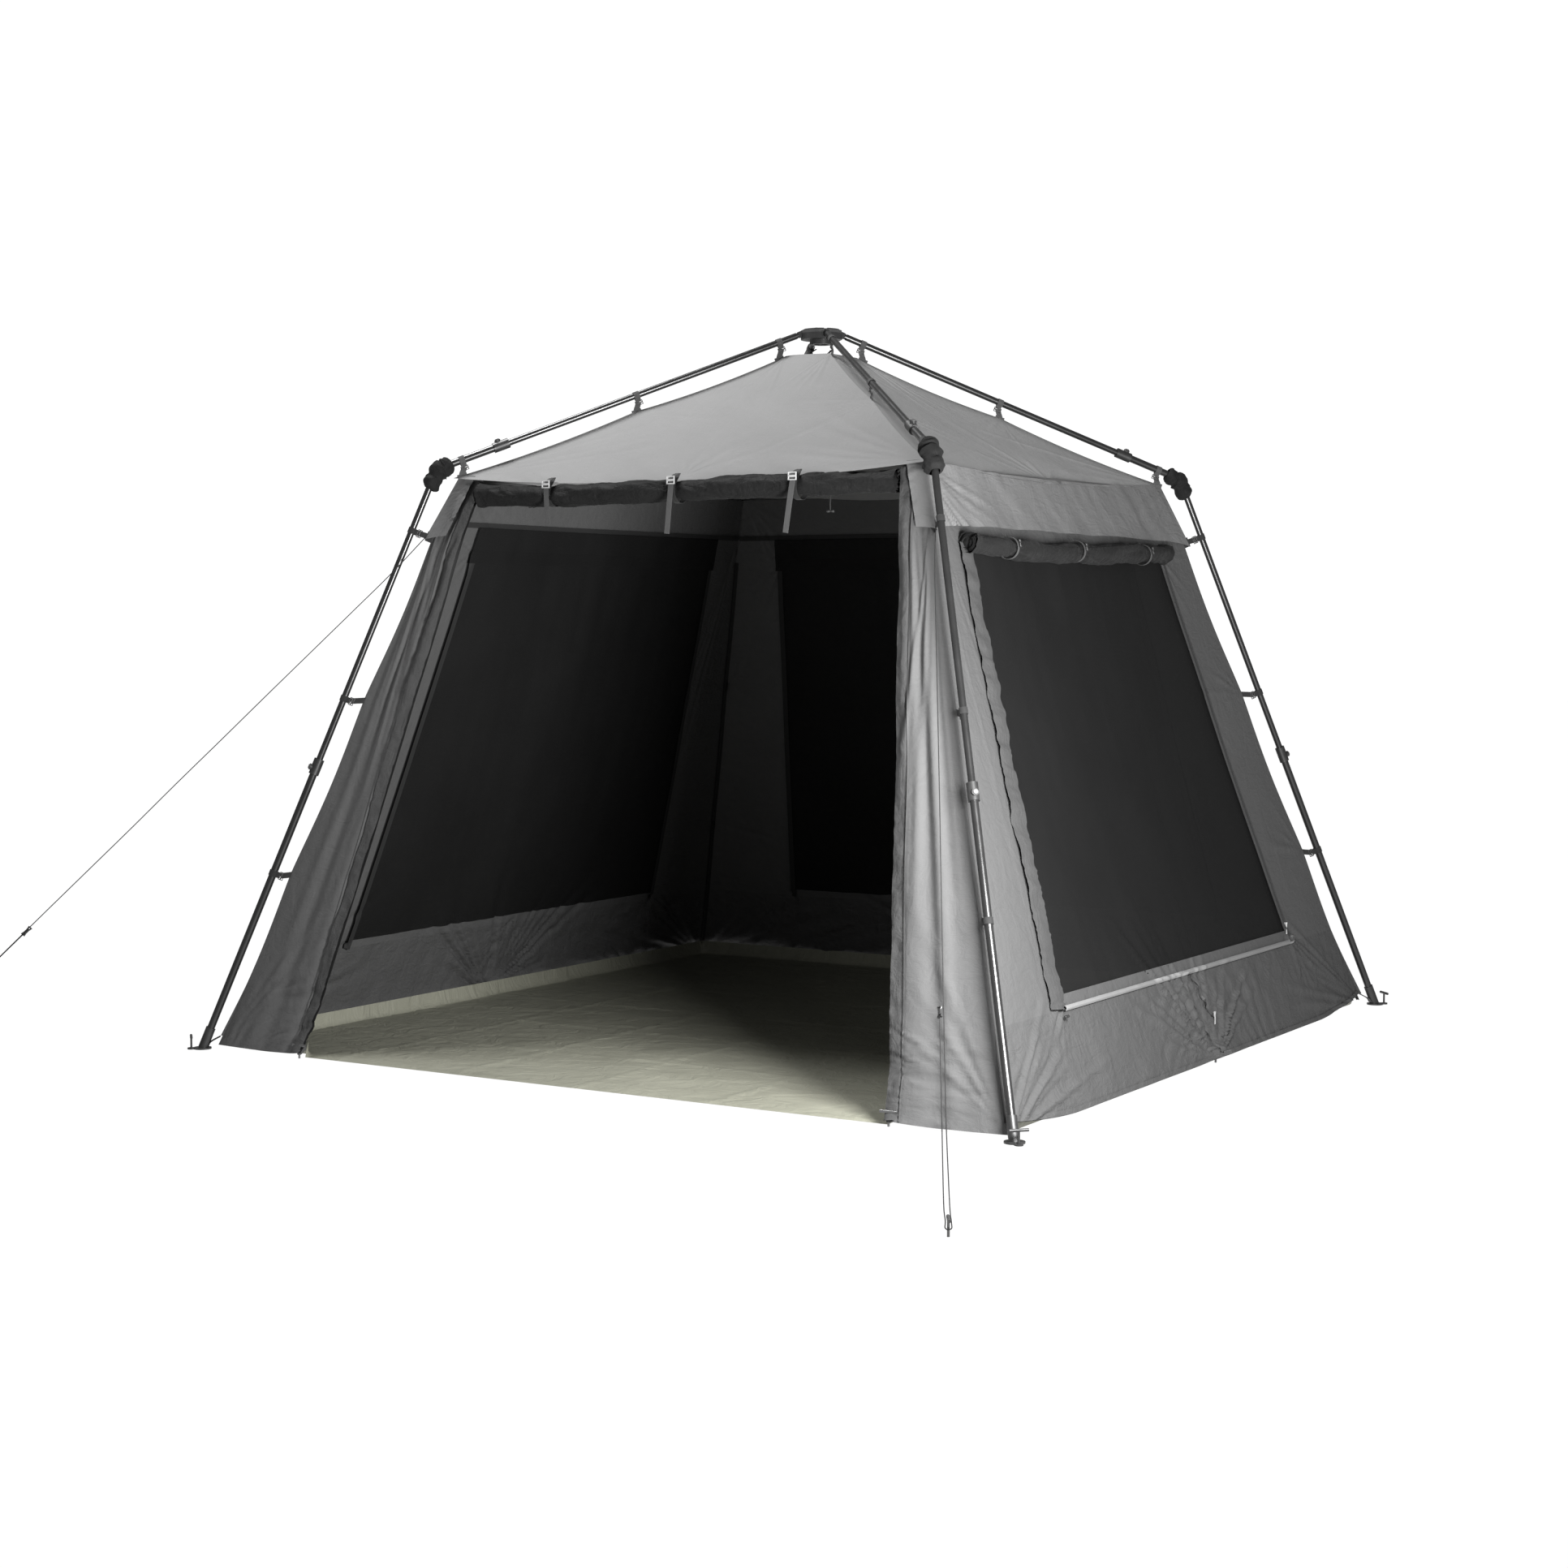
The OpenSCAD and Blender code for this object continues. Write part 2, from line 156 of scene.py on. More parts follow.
@dataclass(frozen=True)
class Plan:
    """Driving sizes of the tent and the frame that it hangs in."""

    tent_half: float = 1.465
    foot_half: float = 1.5
    elbow_half: float = 0.94
    elbow_z: float = 1.925
    eave_half: float = 0.885
    eave_z: float = 1.905
    wall_top_half: float = 0.865
    wall_top_z: float = 1.89
    crown_half: float = 0.09
    crown_z: float = 2.33
    band_half: float = 0.96
    corner_tip_half: float = 0.951
    band_z: float = 1.70
    pivot_radial: float = 0.062
    split_z: float = 0.95
    thin_tube_r: float = 0.011
    thick_tube_r: float = 0.0125
    strap_heights: tuple[float, ...] = (1.72, 1.16, 0.58)
    arm_strap_radials: tuple[float, ...] = (0.15, 0.65, 1.245)

    @property
    def hub_z(self) -> float:
        """Height of the arm pivots: the joint plane of the two hub shells."""
        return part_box("hub_top")[0].z

    @property
    def lean(self) -> float:
        """Lean of the walls from upright, in radians."""
        return math.atan2(self.tent_half - self.wall_top_half, self.wall_top_z)

    def wall_half(self, z: Array) -> Array:
        """Half width of the tent's walls at a height."""
        return self.tent_half - np.asarray(z, float) * math.tan(self.lean)

    def corner_half(self, z: Array) -> Array:
        """Half width at a wall's corner seam, which its straps pull out and which hangs in between them."""
        z = np.asarray(z, float)
        low = self.tent_half - z * (self.tent_half - self.corner_tip_half) / self.band_z
        share = np.clip((z - self.band_z) / (self.wall_top_z - self.band_z), 0, 1)
        high = self.corner_tip_half + (self.wall_top_half - self.corner_tip_half) * share
        held = np.array([0.0, *sorted(self.strap_heights), self.wall_top_z + 0.02])
        near = np.clip(z, 0, held[-1] - 1e-6)
        span = np.clip(np.searchsorted(held, near, side="right") - 1, 0, len(held) - 2)
        part = (near - held[span]) / (held[span + 1] - held[span])
        pull = 0.012 * (held[span + 1] - held[span]) * np.sin(math.pi * part) ** 1.3
        return np.where(z <= self.band_z, low, high) - pull

    def arm_point(self, corner: Corner, radial: float) -> Array:
        """Point of an arm's axis."""
        run = self.elbow_half * math.sqrt(2) - self.pivot_radial
        height = self.hub_z - (radial - self.pivot_radial) * (self.hub_z - self.elbow_z) / run
        return corner.at(radial, height)

    def leg_point(self, corner: Corner, z: float) -> Array:
        """Point of a leg's axis."""
        spread = (self.foot_half - self.elbow_half) * math.sqrt(2)
        return corner.at(self.elbow_half * math.sqrt(2) + spread * (1 - z / self.elbow_z), z)

    def ridge_point(self, corner: Corner, radial: float) -> Array:
        """Point of the roof's ridge seam under an arm."""
        half = radial / math.sqrt(2)
        share = (half - self.crown_half) / (self.eave_half - self.crown_half)
        return corner.at(radial, self.crown_z + (self.eave_z - self.crown_z) * min(max(share, 0), 1))

    def door_half(self, z: Array) -> Array:
        """Half width of the doorway at a height."""
        return 1.095 - np.asarray(z, float) * (1.095 - 0.80) / self.wall_top_z

    def window_half(self, z: Array) -> Array:
        """Half width of a window at a height."""
        return 0.93 - (np.asarray(z, float) - 0.31) * (0.93 - 0.74) / (1.65 - 0.31)


PLAN = Plan()


# ---- Noise and folds --------------------------------------------------------------------------


@dataclass
class Ripple:
    """Smooth repeatable noise over a plane, from -1 to 1."""

    seed: int
    side: int = 96
    lattice: Array = field(init=False)

    def __post_init__(self) -> None:
        """Draws the lattice of values."""
        self.lattice = np.random.default_rng(self.seed).uniform(-1, 1, (self.side, self.side))

    def at(self, x: Array, y: Array) -> Array:
        """One octave of noise with a cell of one unit."""
        i, j = np.floor(x).astype(int), np.floor(y).astype(int)
        u, v = x - i, y - j
        u, v = u * u * (3 - 2 * u), v * v * (3 - 2 * v)
        n = self.side
        low = self.lattice[i % n, j % n] * (1 - u) + self.lattice[(i + 1) % n, j % n] * u
        high = self.lattice[i % n, (j + 1) % n] * (1 - u) + self.lattice[(i + 1) % n, (j + 1) % n] * u
        return low * (1 - v) + high * v

    def layered(self, x: Array, y: Array, octaves: int = 3) -> Array:
        """Sum of octaves, each half as large and twice as fine."""
        total = np.zeros(np.broadcast(x, y).shape)
        for k in range(octaves):
            total += self.at(x * 2**k + 17.3 * k, y * 2**k + 5.1 * k) / 2**k
        return total

    def creased(self, x: Array, y: Array, octaves: int = 3) -> Array:
        """Sharp-topped creases between soft hollows, about 0 on average."""
        total = np.zeros(np.broadcast(x, y).shape)
        for k in range(octaves):
            n = self.at(x * 1.9**k + 9.7 * k, y * 1.9**k + 3.3 * k)
            total += (0.45 - np.sqrt(n * n + 0.004)) / 1.8**k
        return total


@dataclass(frozen=True)
class Fold:
    """A tension fold that runs from a held point and dies away: width and height in metres."""

    start: tuple[float, float]
    end: tuple[float, float]
    width: float
    height: float

    def at(self, x: Array, z: Array) -> Array:
        """Height of the fold over the cloth at points of the cloth's own plane."""
        run = np.array(self.end) - np.array(self.start)
        length = float(np.hypot(*run))
        ux, uz = run / length
        along = ((x - self.start[0]) * ux + (z - self.start[1]) * uz) / length
        across = (x - self.start[0]) * -uz + (z - self.start[1]) * ux
        t = np.clip(along, 0, 1)
        fade = np.clip(t / 0.06, 0, 1) * (1 - t) ** 0.8 * (along < 1)
        w = self.width * (0.35 + 1.1 * t)
        q = (across / w) ** 2
        return self.height * fade * (1 - 0.9 * q) * np.exp(-q)


def fan(
    origin: tuple[float, float],
    angles: tuple[float, float],
    count: int,
    lengths: tuple[float, float],
    width: float,
    height: float,
    seed: int,
) -> list[Fold]:
    """Folds that spread from one held point.

    Args:
        origin: The held point, in the cloth's own plane.
        angles: First and last heading, in degrees from the plane's first axis.
        count: How many folds there are.
        lengths: Shortest and longest fold.
        width: Half width of a fold about its middle.
        height: Height of a fold, which may be negative for a valley.
        seed: Seed of the small differences between them.

    Returns:
        The folds.
    """
    draw = np.random.default_rng(seed)
    folds = []
    for k in range(count):
        share = (k + draw.uniform(0.2, 0.8)) / count
        heading = math.radians(angles[0] + (angles[1] - angles[0]) * share)
        length = draw.uniform(*lengths)
        end = (origin[0] + length * math.cos(heading), origin[1] + length * math.sin(heading))
        folds.append(Fold(origin, end, width * draw.uniform(0.7, 1.4), height * draw.uniform(0.6, 1.3)))
    return folds


def fold_heights(folds: Sequence[Fold], x: Array, z: Array) -> Array:
    """Sum of the folds' heights at points of the cloth's plane."""
    total = np.zeros(np.broadcast(x, z).shape)
    for fold in folds:
        total += fold.at(x, z)
    return total


# ---- Shader expressions -----------------------------------------------------------------------


class Wire:
    """A shader socket that takes part in Python expressions; each one adds a Math node."""

    def __init__(self, recipe: "Recipe", socket: bpy.types.NodeSocket) -> None:
        """Keeps the socket and the recipe that it belongs to."""
        self.recipe = recipe
        self.socket = socket

    def _math(self, operation: str, *values: "Wire | float") -> "Wire":
        """Adds a Math node."""
        return self.recipe.node("ShaderNodeMath", {"operation": operation}, dict(enumerate(values)))

    def __add__(self, other: "Wire | float") -> "Wire":
        """This value plus another."""
        return self._math("ADD", self, other)

    __radd__ = __add__

    def __mul__(self, other: "Wire | float") -> "Wire":
        """This value times another."""
        return self._math("MULTIPLY", self, other)

    __rmul__ = __mul__

    def __sub__(self, other: "Wire | float") -> "Wire":
        """This value less another."""
        return self._math("SUBTRACT", self, other)

    def __rsub__(self, other: float) -> "Wire":
        """A number less this value."""
        return self._math("SUBTRACT", other, self)

    def sine(self) -> "Wire":
        """Sine of this value in radians."""
        return self._math("SINE", self)

    def above(self, limit: float) -> "Wire":
        """One where this value is over the limit, and zero elsewhere."""
        return self._math("GREATER_THAN", self, limit)


Colour = tuple[float, float, float]


class Recipe:
    """A material's nodes, written as expressions."""

    def __init__(self, name: str) -> None:
        """Starts a material with one surface shader."""
        self.material = bpy.data.materials.new(name)
        self.material.use_nodes = True
        self.tree = self.material.node_tree
        self.shader = self.tree.nodes["Principled BSDF"]

    def node(
        self,
        kind: str,
        settings: dict[str, object] | None = None,
        values: dict[object, object] | None = None,
        output: int | str = 0,
    ) -> Wire:
        """Adds a node.

        Args:
            kind: The node's type.
            settings: Its own settings, set first.
            values: Values or links of its sockets, by socket name or number.
            output: The output that is returned.

        Returns:
            The output socket, ready for expressions.
        """
        made = self.tree.nodes.new(kind)
        for key, value in (settings or {}).items():
            setattr(made, key, value)
        for key, value in (values or {}).items():
            self._feed(made.inputs[key], value)
        return Wire(self, made.outputs[output])

    def _feed(self, socket: bpy.types.NodeSocket, value: object) -> None:
        """Links or sets one socket."""
        if isinstance(value, Wire):
            self.tree.links.new(value.socket, socket)
        else:
            socket.default_value = value

    def place(self, scale: Sequence[float] = (1, 1, 1), turn: Sequence[float] = (0, 0, 0)) -> Wire:
        """Object coordinates, scaled and turned."""
        source = self.node("ShaderNodeTexCoord", output="Object")
        return self.node("ShaderNodeMapping", None, {"Vector": source, "Scale": scale, "Rotation": turn})

    def cloth(self, scale: Sequence[float] = (1, 1, 1), turn: float = 0.0) -> Wire:
        """The piece's own cloth coordinates, in metres along its two threads."""
        source = self.node("ShaderNodeUVMap", {"uv_map": UV_NAME})
        values = {"Vector": source, "Scale": scale, "Rotation": (0, 0, turn)}
        return self.node("ShaderNodeMapping", None, values)

    def noise(
        self, place: Wire, scale: float, detail: float = 3.0, rough: float = 0.55, warp: float = 0.0
    ) -> Wire:
        """Soft noise from 0 to 1."""
        values = {"Vector": place, "Scale": scale, "Detail": detail, "Roughness": rough, "Distortion": warp}
        return self.node("ShaderNodeTexNoise", None, values)

    def axes(self, place: Wire) -> tuple[Wire, Wire, Wire]:
        """The three parts of a vector."""
        split = self.node("ShaderNodeSeparateXYZ", None, {0: place})
        outputs = split.socket.node.outputs
        return Wire(self, outputs[0]), Wire(self, outputs[1]), Wire(self, outputs[2])

    def ramp(self, value: Wire, stops: Sequence[tuple[float, float]]) -> Wire:
        """Maps a value through grey stops."""
        made = self.node("ShaderNodeValToRGB", None, {0: value})
        bar = made.socket.node.color_ramp
        while len(bar.elements) < len(stops):
            bar.elements.new(0.5)
        for element, (spot, grey) in zip(bar.elements, stops):
            element.position = spot
            element.color = (grey, grey, grey, 1)
        return made

    def blend(self, share: Wire | float, first: object, second: object) -> Wire:
        """Mixes two colours."""
        values = {0: share, 6: self._rgba(first), 7: self._rgba(second)}
        return self.node("ShaderNodeMix", {"data_type": "RGBA"}, values, output=2)

    @staticmethod
    def _rgba(value: object) -> object:
        """A colour with its fourth part, or a link as it is."""
        return value if isinstance(value, Wire) else (*value, 1.0)

    def bump(self, height: Wire, depth: float, strength: float = 1.0, below: Wire | None = None) -> Wire:
        """A bump of that depth in metres, over another one where it is given."""
        values: dict[object, object] = {"Height": height, "Distance": depth, "Strength": strength}
        if below is not None:
            values["Normal"] = below
        return self.node("ShaderNodeBump", None, values)

    def finish(self, **sockets: object) -> bpy.types.Material:
        """Sets the surface shader's sockets, named with underscores, and returns the material."""
        for key, value in sockets.items():
            name = key.replace("_", " ")
            if name == "Base Color":
                value = self._rgba(value)
            self._feed(self.shader.inputs[name], value)
        return self.material


# ---- Finishes ---------------------------------------------------------------------------------


@dataclass(frozen=True)
class ClothFinish:
    """Coated woven polyester: thread bump, soft creasing, faint mottling and dust."""

    name: str
    grey: float
    crease: float = 0.5
    rough: float = 0.62
    tint: Colour = (1.0, 1.0, 1.0)

    def make(self) -> bpy.types.Material:
        """Builds the material."""
        r = Recipe(self.name)
        uv = r.cloth()
        u, v, _ = r.axes(uv)
        thread = 2 * math.pi / 0.0016
        weave = (u * thread).sine() * 0.5 + (v * thread).sine() * 0.5
        mottle = r.noise(uv, 5.0, 4.0, 0.6)
        fine = r.noise(uv, 160.0, 2.0, 0.7)
        crush = r.noise(r.cloth((1.0, 0.55, 1.0), 0.6), 16.0, 5.0, 0.58, 0.9)
        crush_b = r.noise(r.cloth((0.5, 1.0, 1.0), -0.5), 27.0, 4.0, 0.6, 1.4)
        dark = tuple(self.grey * 0.88 * t for t in self.tint)
        light = tuple(self.grey * 1.12 * t for t in self.tint)
        colour = r.blend(mottle * 0.7 + fine * 0.3, dark, light)
        crumple = r.bump(crush * 0.6 + crush_b * 0.4, 0.010 * self.crease)
        threads = r.bump(weave, 0.00012, 0.5, crumple)
        return r.finish(
            Base_Color=colour,
            Roughness=r.ramp(mottle, [(0.25, self.rough - 0.08), (0.75, self.rough + 0.10)]),
            Specular_IOR_Level=0.06,
            Sheen_Weight=0.015,
            Sheen_Roughness=0.5,
            Normal=threads,
        )


@dataclass(frozen=True)
class NetFinish:
    """Fine insect net: dark threads with open cells between."""

    name: str
    grey: float = 0.010
    pitch: float = 0.0018
    cover: float = 0.90

    def make(self) -> bpy.types.Material:
        """Builds the material."""
        r = Recipe(self.name)
        uv = r.cloth()
        u, v, _ = r.axes(uv)
        step = 2 * math.pi / self.pitch
        threads = ((u * step).sine() * 0.5 + 0.5) * 0.5 + ((v * step).sine() * 0.5 + 0.5) * 0.5
        cloud = r.noise(uv, 2.2, 3.0, 0.6)
        alpha = threads * 0.16 + cloud * 0.04 + (self.cover - 0.08)
        colour = r.blend(cloud, (self.grey * 0.75,) * 3, (self.grey * 1.2,) * 3)
        return r.finish(
            Base_Color=colour,
            Roughness=r.ramp(cloud, [(0.3, 0.55), (0.7, 0.75)]),
            Specular_IOR_Level=0.05,
            Alpha=alpha,
            Normal=r.bump(threads, 0.0002, 0.4),
        )


@dataclass(frozen=True)
class PoleFinish:
    """Powder-coated tube: dark gloss with fine orange peel, drag marks and dust."""

    name: str
    grey: float = 0.010
    rough: float = 0.27
    metal: float = 0.0

    def make(self) -> bpy.types.Material:
        """Builds the material."""
        r = Recipe(self.name)
        place = r.place()
        dust = r.noise(place, 9.0, 4.0, 0.65)
        peel = r.noise(place, 900.0, 2.0, 0.5)
        marks = r.noise(r.place((60, 60, 4)), 3.0, 3.0, 0.6)
        worn = r.ramp(marks, [(0.66, 0.0), (0.80, 1.0)])
        colour = r.blend(worn * 0.1 + dust * 0.2, (self.grey,) * 3, (self.grey * 2 + 0.005,) * 3)
        return r.finish(
            Base_Color=colour,
            Metallic=self.metal,
            Roughness=r.ramp(dust, [(0.3, self.rough - 0.05), (0.8, self.rough + 0.12)]),
            Specular_IOR_Level=0.5,
            Coat_Weight=0.15,
            Coat_Roughness=0.2,
            Normal=r.bump(peel, 0.00006, 0.2),
        )


@dataclass(frozen=True)
class MouldedFinish:
    """Moulded plastic: fine spark texture, with edges and faces a little worn."""

    name: str
    grey: float
    rough: float = 0.5

    def make(self) -> bpy.types.Material:
        """Builds the material."""
        r = Recipe(self.name)
        place = r.place()
        grain = r.noise(place, 1400.0, 2.0, 0.6)
        smear = r.noise(place, 24.0, 4.0, 0.6)
        colour = r.blend(smear, (self.grey * 0.8,) * 3, (self.grey * 1.35 + 0.004,) * 3)
        return r.finish(
            Base_Color=colour,
            Roughness=r.ramp(smear, [(0.3, self.rough - 0.08), (0.7, self.rough + 0.1)]),
            Specular_IOR_Level=0.5,
            Normal=r.bump(grain, 0.00012, 0.5),
        )


@dataclass(frozen=True)
class SteelFinish:
    """Bright zinc or dark painted steel with scuffs."""

    name: str
    grey: float
    rough: float = 0.3

    def make(self) -> bpy.types.Material:
        """Builds the material."""
        r = Recipe(self.name)
        place = r.place()
        scuff = r.noise(r.place((20, 20, 200)), 6.0, 4.0, 0.7)
        stain = r.noise(place, 60.0, 3.0, 0.6)
        colour = r.blend(stain, (self.grey * 0.75,) * 3, (min(self.grey * 1.2, 0.9),) * 3)
        return r.finish(
            Base_Color=colour,
            Metallic=0.9,
            Roughness=r.ramp(scuff, [(0.3, self.rough - 0.08), (0.75, self.rough + 0.18)]),
            Normal=r.bump(scuff, 0.0001, 0.4),
        )


@dataclass(frozen=True)
class WebbingFinish:
    """Woven webbing or braided cord: cross ribs along the length and a twill."""

    name: str
    grey: float
    rib: float = 0.0022
    depth: float = 0.0004

    def make(self) -> bpy.types.Material:
        """Builds the material."""
        r = Recipe(self.name)
        uv = r.cloth()
        u, v, _ = r.axes(uv)
        ribs = (u * (2 * math.pi / self.rib)).sine() * 0.5 + 0.5
        twill = ((u + v) * (2 * math.pi / (self.rib * 1.6))).sine() * 0.5 + 0.5
        wear = r.noise(uv, 55.0, 3.0, 0.6)
        colour = r.blend(
            ribs * 0.4 + twill * 0.2 + wear * 0.4, (self.grey * 0.62,) * 3, (self.grey * 1.35,) * 3
        )
        return r.finish(
            Base_Color=colour,
            Roughness=r.ramp(wear, [(0.3, 0.6), (0.7, 0.8)]),
            Specular_IOR_Level=0.15,
            Sheen_Weight=0.03,
            Normal=r.bump(ribs * 0.6 + twill * 0.4, self.depth, 0.8),
        )


@dataclass(frozen=True)
class ZipFinish:
    """Zip tape with its row of teeth."""

    name: str
    grey: float = 0.012

    def make(self) -> bpy.types.Material:
        """Builds the material."""
        r = Recipe(self.name)
        u, v, _ = r.axes(r.cloth())
        teeth = (u * (2 * math.pi / 0.0028)).sine().above(0.0)
        middle = 1 - (v * (math.pi / 0.012)).sine().above(0.5)
        wear = r.noise(r.cloth(), 40.0, 3.0)
        colour = r.blend(teeth * middle * 0.5 + wear * 0.2, (self.grey,) * 3, (self.grey * 4 + 0.02,) * 3)
        return r.finish(
            Base_Color=colour,
            Roughness=r.ramp(wear, [(0.3, 0.4), (0.7, 0.6)]),
            Normal=r.bump(teeth * middle, 0.0006, 0.8),
        )


@dataclass(frozen=True)
class GroundFinish:
    """Coated ground cloth: square weave, lines from folding, scuffed dust."""

    name: str
    colour: Colour = (0.200, 0.200, 0.160)

    def make(self) -> bpy.types.Material:
        """Builds the material."""
        r = Recipe(self.name)
        uv = r.cloth()
        u, v, _ = r.axes(uv)
        step = 2 * math.pi / 0.004
        weave = (u * step).sine() * (v * step).sine()
        dust = r.noise(uv, 3.0, 6.0, 0.65)
        drag = r.noise(r.cloth((1.0, 4.0, 1.0), 0.35), 4.0, 5.0, 0.6, 0.8)
        crumple = r.noise(uv, 11.0, 5.0, 0.6, 1.2)
        dark = tuple(0.80 * c for c in self.colour)
        light = tuple(1.25 * c for c in self.colour)
        colour = r.blend(dust * 0.6 + drag * 0.4, dark, light)
        soft = r.bump(crumple, 0.010)
        return r.finish(
            Base_Color=colour,
            Roughness=r.ramp(dust, [(0.3, 0.5), (0.7, 0.72)]),
            Specular_IOR_Level=0.35,
            Normal=r.bump(weave, 0.0002, 0.4, soft),
        )


@dataclass(frozen=True)
class FloorFinish:
    """The pale studio floor."""

    name: str

    def make(self) -> bpy.types.Material:
        """Builds the material."""
        r = Recipe(self.name)
        cloud = r.noise(r.place(), 0.6, 2.0)
        return r.finish(
            Base_Color=r.blend(cloud, (0.02,) * 3, (0.03,) * 3),
            Roughness=0.9,
            Specular_IOR_Level=0.05,
            Emission_Color=(1.0, 1.0, 1.0, 1.0),
            Emission_Strength=1.0,
        )


class Finishes:
    """All the finishes of the object, made once."""

    def __init__(self) -> None:
        """Builds the materials."""
        # Painted light and shade: the roof, the eave band, the wings and the walls are one cloth, given a
        # different grey on each part for the light that falls on it, the roof lightest, then the band, the
        # wings and the walls.
        self.roof = ClothFinish("roof_cloth", 0.235, 0.4).make()
        self.wall = ClothFinish("wall_cloth", 0.066, 0.9).make()
        self.wing = ClothFinish("wing_cloth", 0.080, 0.6).make()
        self.mud = ClothFinish("mud_wall_cloth", 0.060, 1.6).make()
        self.band = ClothFinish("band_cloth", 0.122, 0.8).make()
        self.flap = ClothFinish("flap_cloth", 0.046, 1.2).make()
        # Painted shade: the rolled door and the rolled cover are made far darker than the same cloth laid
        # flat (the closed covers use the wall cloth), for the shade in and under the rolls.
        self.roll = ClothFinish("roll_cloth", 0.010, 1.6, 0.6).make()
        self.cover_roll = ClothFinish("cover_roll_cloth", 0.012, 1.6, 0.6).make()
        self.sleeve = ClothFinish("sleeve_cloth", 0.012, 1.0, 0.7).make()
        self.piping = ClothFinish("piping_cloth", 0.17, 0.2).make()
        self.net = NetFinish("insect_net").make()
        self.zip = ZipFinish("zip").make()
        self.webbing = WebbingFinish("webbing", 0.055).make()
        self.dark_webbing = WebbingFinish("dark_webbing", 0.018).make()
        self.cord = WebbingFinish("guy_cord", 0.016, 0.0016, 0.0002).make()
        self.ground = GroundFinish("ground_cloth").make()
        self.pole = PoleFinish("pole_coat").make()
        self.black = MouldedFinish("black_plastic", 0.012, 0.42).make()
        self.hub = MouldedFinish("hub_plastic", 0.040, 0.38).make()
        self.button = MouldedFinish("button_plastic", 0.07, 0.4).make()
        self.buckle = MouldedFinish("buckle_plastic", 0.30, 0.35).make()
        self.bright = SteelFinish("bright_steel", 0.75, 0.25).make()
        self.peg = SteelFinish("peg_steel", 0.16, 0.4).make()
        self.floor = FloorFinish("studio_floor").make()


# ---- Cloth nets -------------------------------------------------------------------------------


@dataclass
class ClothNet:
    """A net of cloth points in rows (upward) and columns (to the right, seen from outside)."""

    points: Array
    weave: Array
    open_cells: Array | None = None
    normals: Array | None = None

    def __post_init__(self) -> None:
        """Works out the outward normals of the whole net."""
        if self.normals is None:
            across = np.gradient(self.points, axis=1)
            up = np.gradient(self.points, axis=0)
            raw = np.cross(across, up)
            self.normals = raw / np.maximum(np.linalg.norm(raw, axis=2, keepdims=True), 1e-12)
        if self.open_cells is None:
            self.open_cells = np.zeros((self.points.shape[0] - 1, self.points.shape[1] - 1), bool)

    def part(self, rows: slice, columns: slice) -> "ClothNet":
        """The net between two rows and two columns, edge lines included, shaded as the whole."""
        cell_rows = slice(rows.start, rows.stop - 1)
        cell_columns = slice(columns.start, columns.stop - 1)
        return ClothNet(
            self.points[rows, columns],
            self.weave[rows, columns],
            self.open_cells[cell_rows, cell_columns],
            self.normals[rows, columns],
        )

    def cut_size(self) -> tuple[tuple[float, float], float]:
        """The flat rectangle that the cloth is cut from, and its flat area."""
        w = self.weave
        edge_a = w[:-1, 1:] - w[:-1, :-1]
        edge_b = w[1:, :-1] - w[:-1, :-1]
        cells = np.abs(edge_a[..., 0] * edge_b[..., 1] - edge_a[..., 1] * edge_b[..., 0])
        area = float(cells[~self.open_cells].sum())
        used = np.zeros(w.shape[:2], bool)
        kept = ~self.open_cells
        for rows, columns in ((slice(0, -1), slice(0, -1)), (slice(1, None), slice(1, None))):
            used[rows, columns] |= kept
        spots = w[used]
        flat = (float(np.ptp(spots[:, 0])), float(np.ptp(spots[:, 1])))
        return flat, min(area, flat[0] * flat[1])


def build_piece(
    name: str, nets: Sequence[ClothNet], materials: Sequence[bpy.types.Material]
) -> bpy.types.Object:
    """Makes one mesh object from nets, one material for each.

    Args:
        name: The piece's name.
        nets: The nets, each with its own rows and columns.
        materials: A material for each net.

    Returns:
        The object, at the origin.
    """
    points, faces, weave, normals, slots = [], [], [], [], []
    base = 0
    used_materials = list(dict.fromkeys(m.name for m in materials))
    for net, material in zip(nets, materials):
        rows, columns = net.points.shape[:2]
        index = np.arange(rows * columns).reshape(rows, columns)
        quads = np.stack([index[:-1, :-1], index[:-1, 1:], index[1:, 1:], index[1:, :-1]], axis=-1)
        quads = quads[~net.open_cells]
        used, quads = np.unique(quads, return_inverse=True)
        quads = quads.reshape(-1, 4)
        points.append(net.points.reshape(-1, 3)[used])
        normals.append(net.normals.reshape(-1, 3)[used])
        weave.append(net.weave.reshape(-1, 2)[used])
        faces.append(quads + base)
        slots.append(np.full(len(quads), used_materials.index(material.name)))
        base += len(used)
    all_faces = np.concatenate(faces)
    mesh = bpy.data.meshes.new(name)
    mesh.from_pydata(np.concatenate(points).tolist(), [], all_faces.tolist())
    layer = mesh.uv_layers.new(name=UV_NAME)
    layer.data.foreach_set("uv", np.concatenate(weave)[all_faces.ravel()].astype(np.float32).ravel())
    mesh.polygons.foreach_set("material_index", np.concatenate(slots).astype(np.int32))
    mesh.polygons.foreach_set("use_smooth", np.ones(len(all_faces), bool))
    mesh.normals_split_custom_set_from_vertices(np.concatenate(normals).tolist())
    for material_name in used_materials:
        mesh.materials.append(bpy.data.materials[material_name])
    mesh.update()
    piece = bpy.data.objects.new(name, mesh)
    bpy.context.scene.collection.objects.link(piece)
    return piece


def lines(*stops: float, step: float) -> Array:
    """Spaced values through all the stops, each stop being one of them."""
    out: list[float] = [stops[0]]
    for low, high in zip(stops, stops[1:]):
        count = max(1, round(abs(high - low) / step))
        out.extend(low + (high - low) * (k + 1) / count for k in range(count))
    return np.array(out)


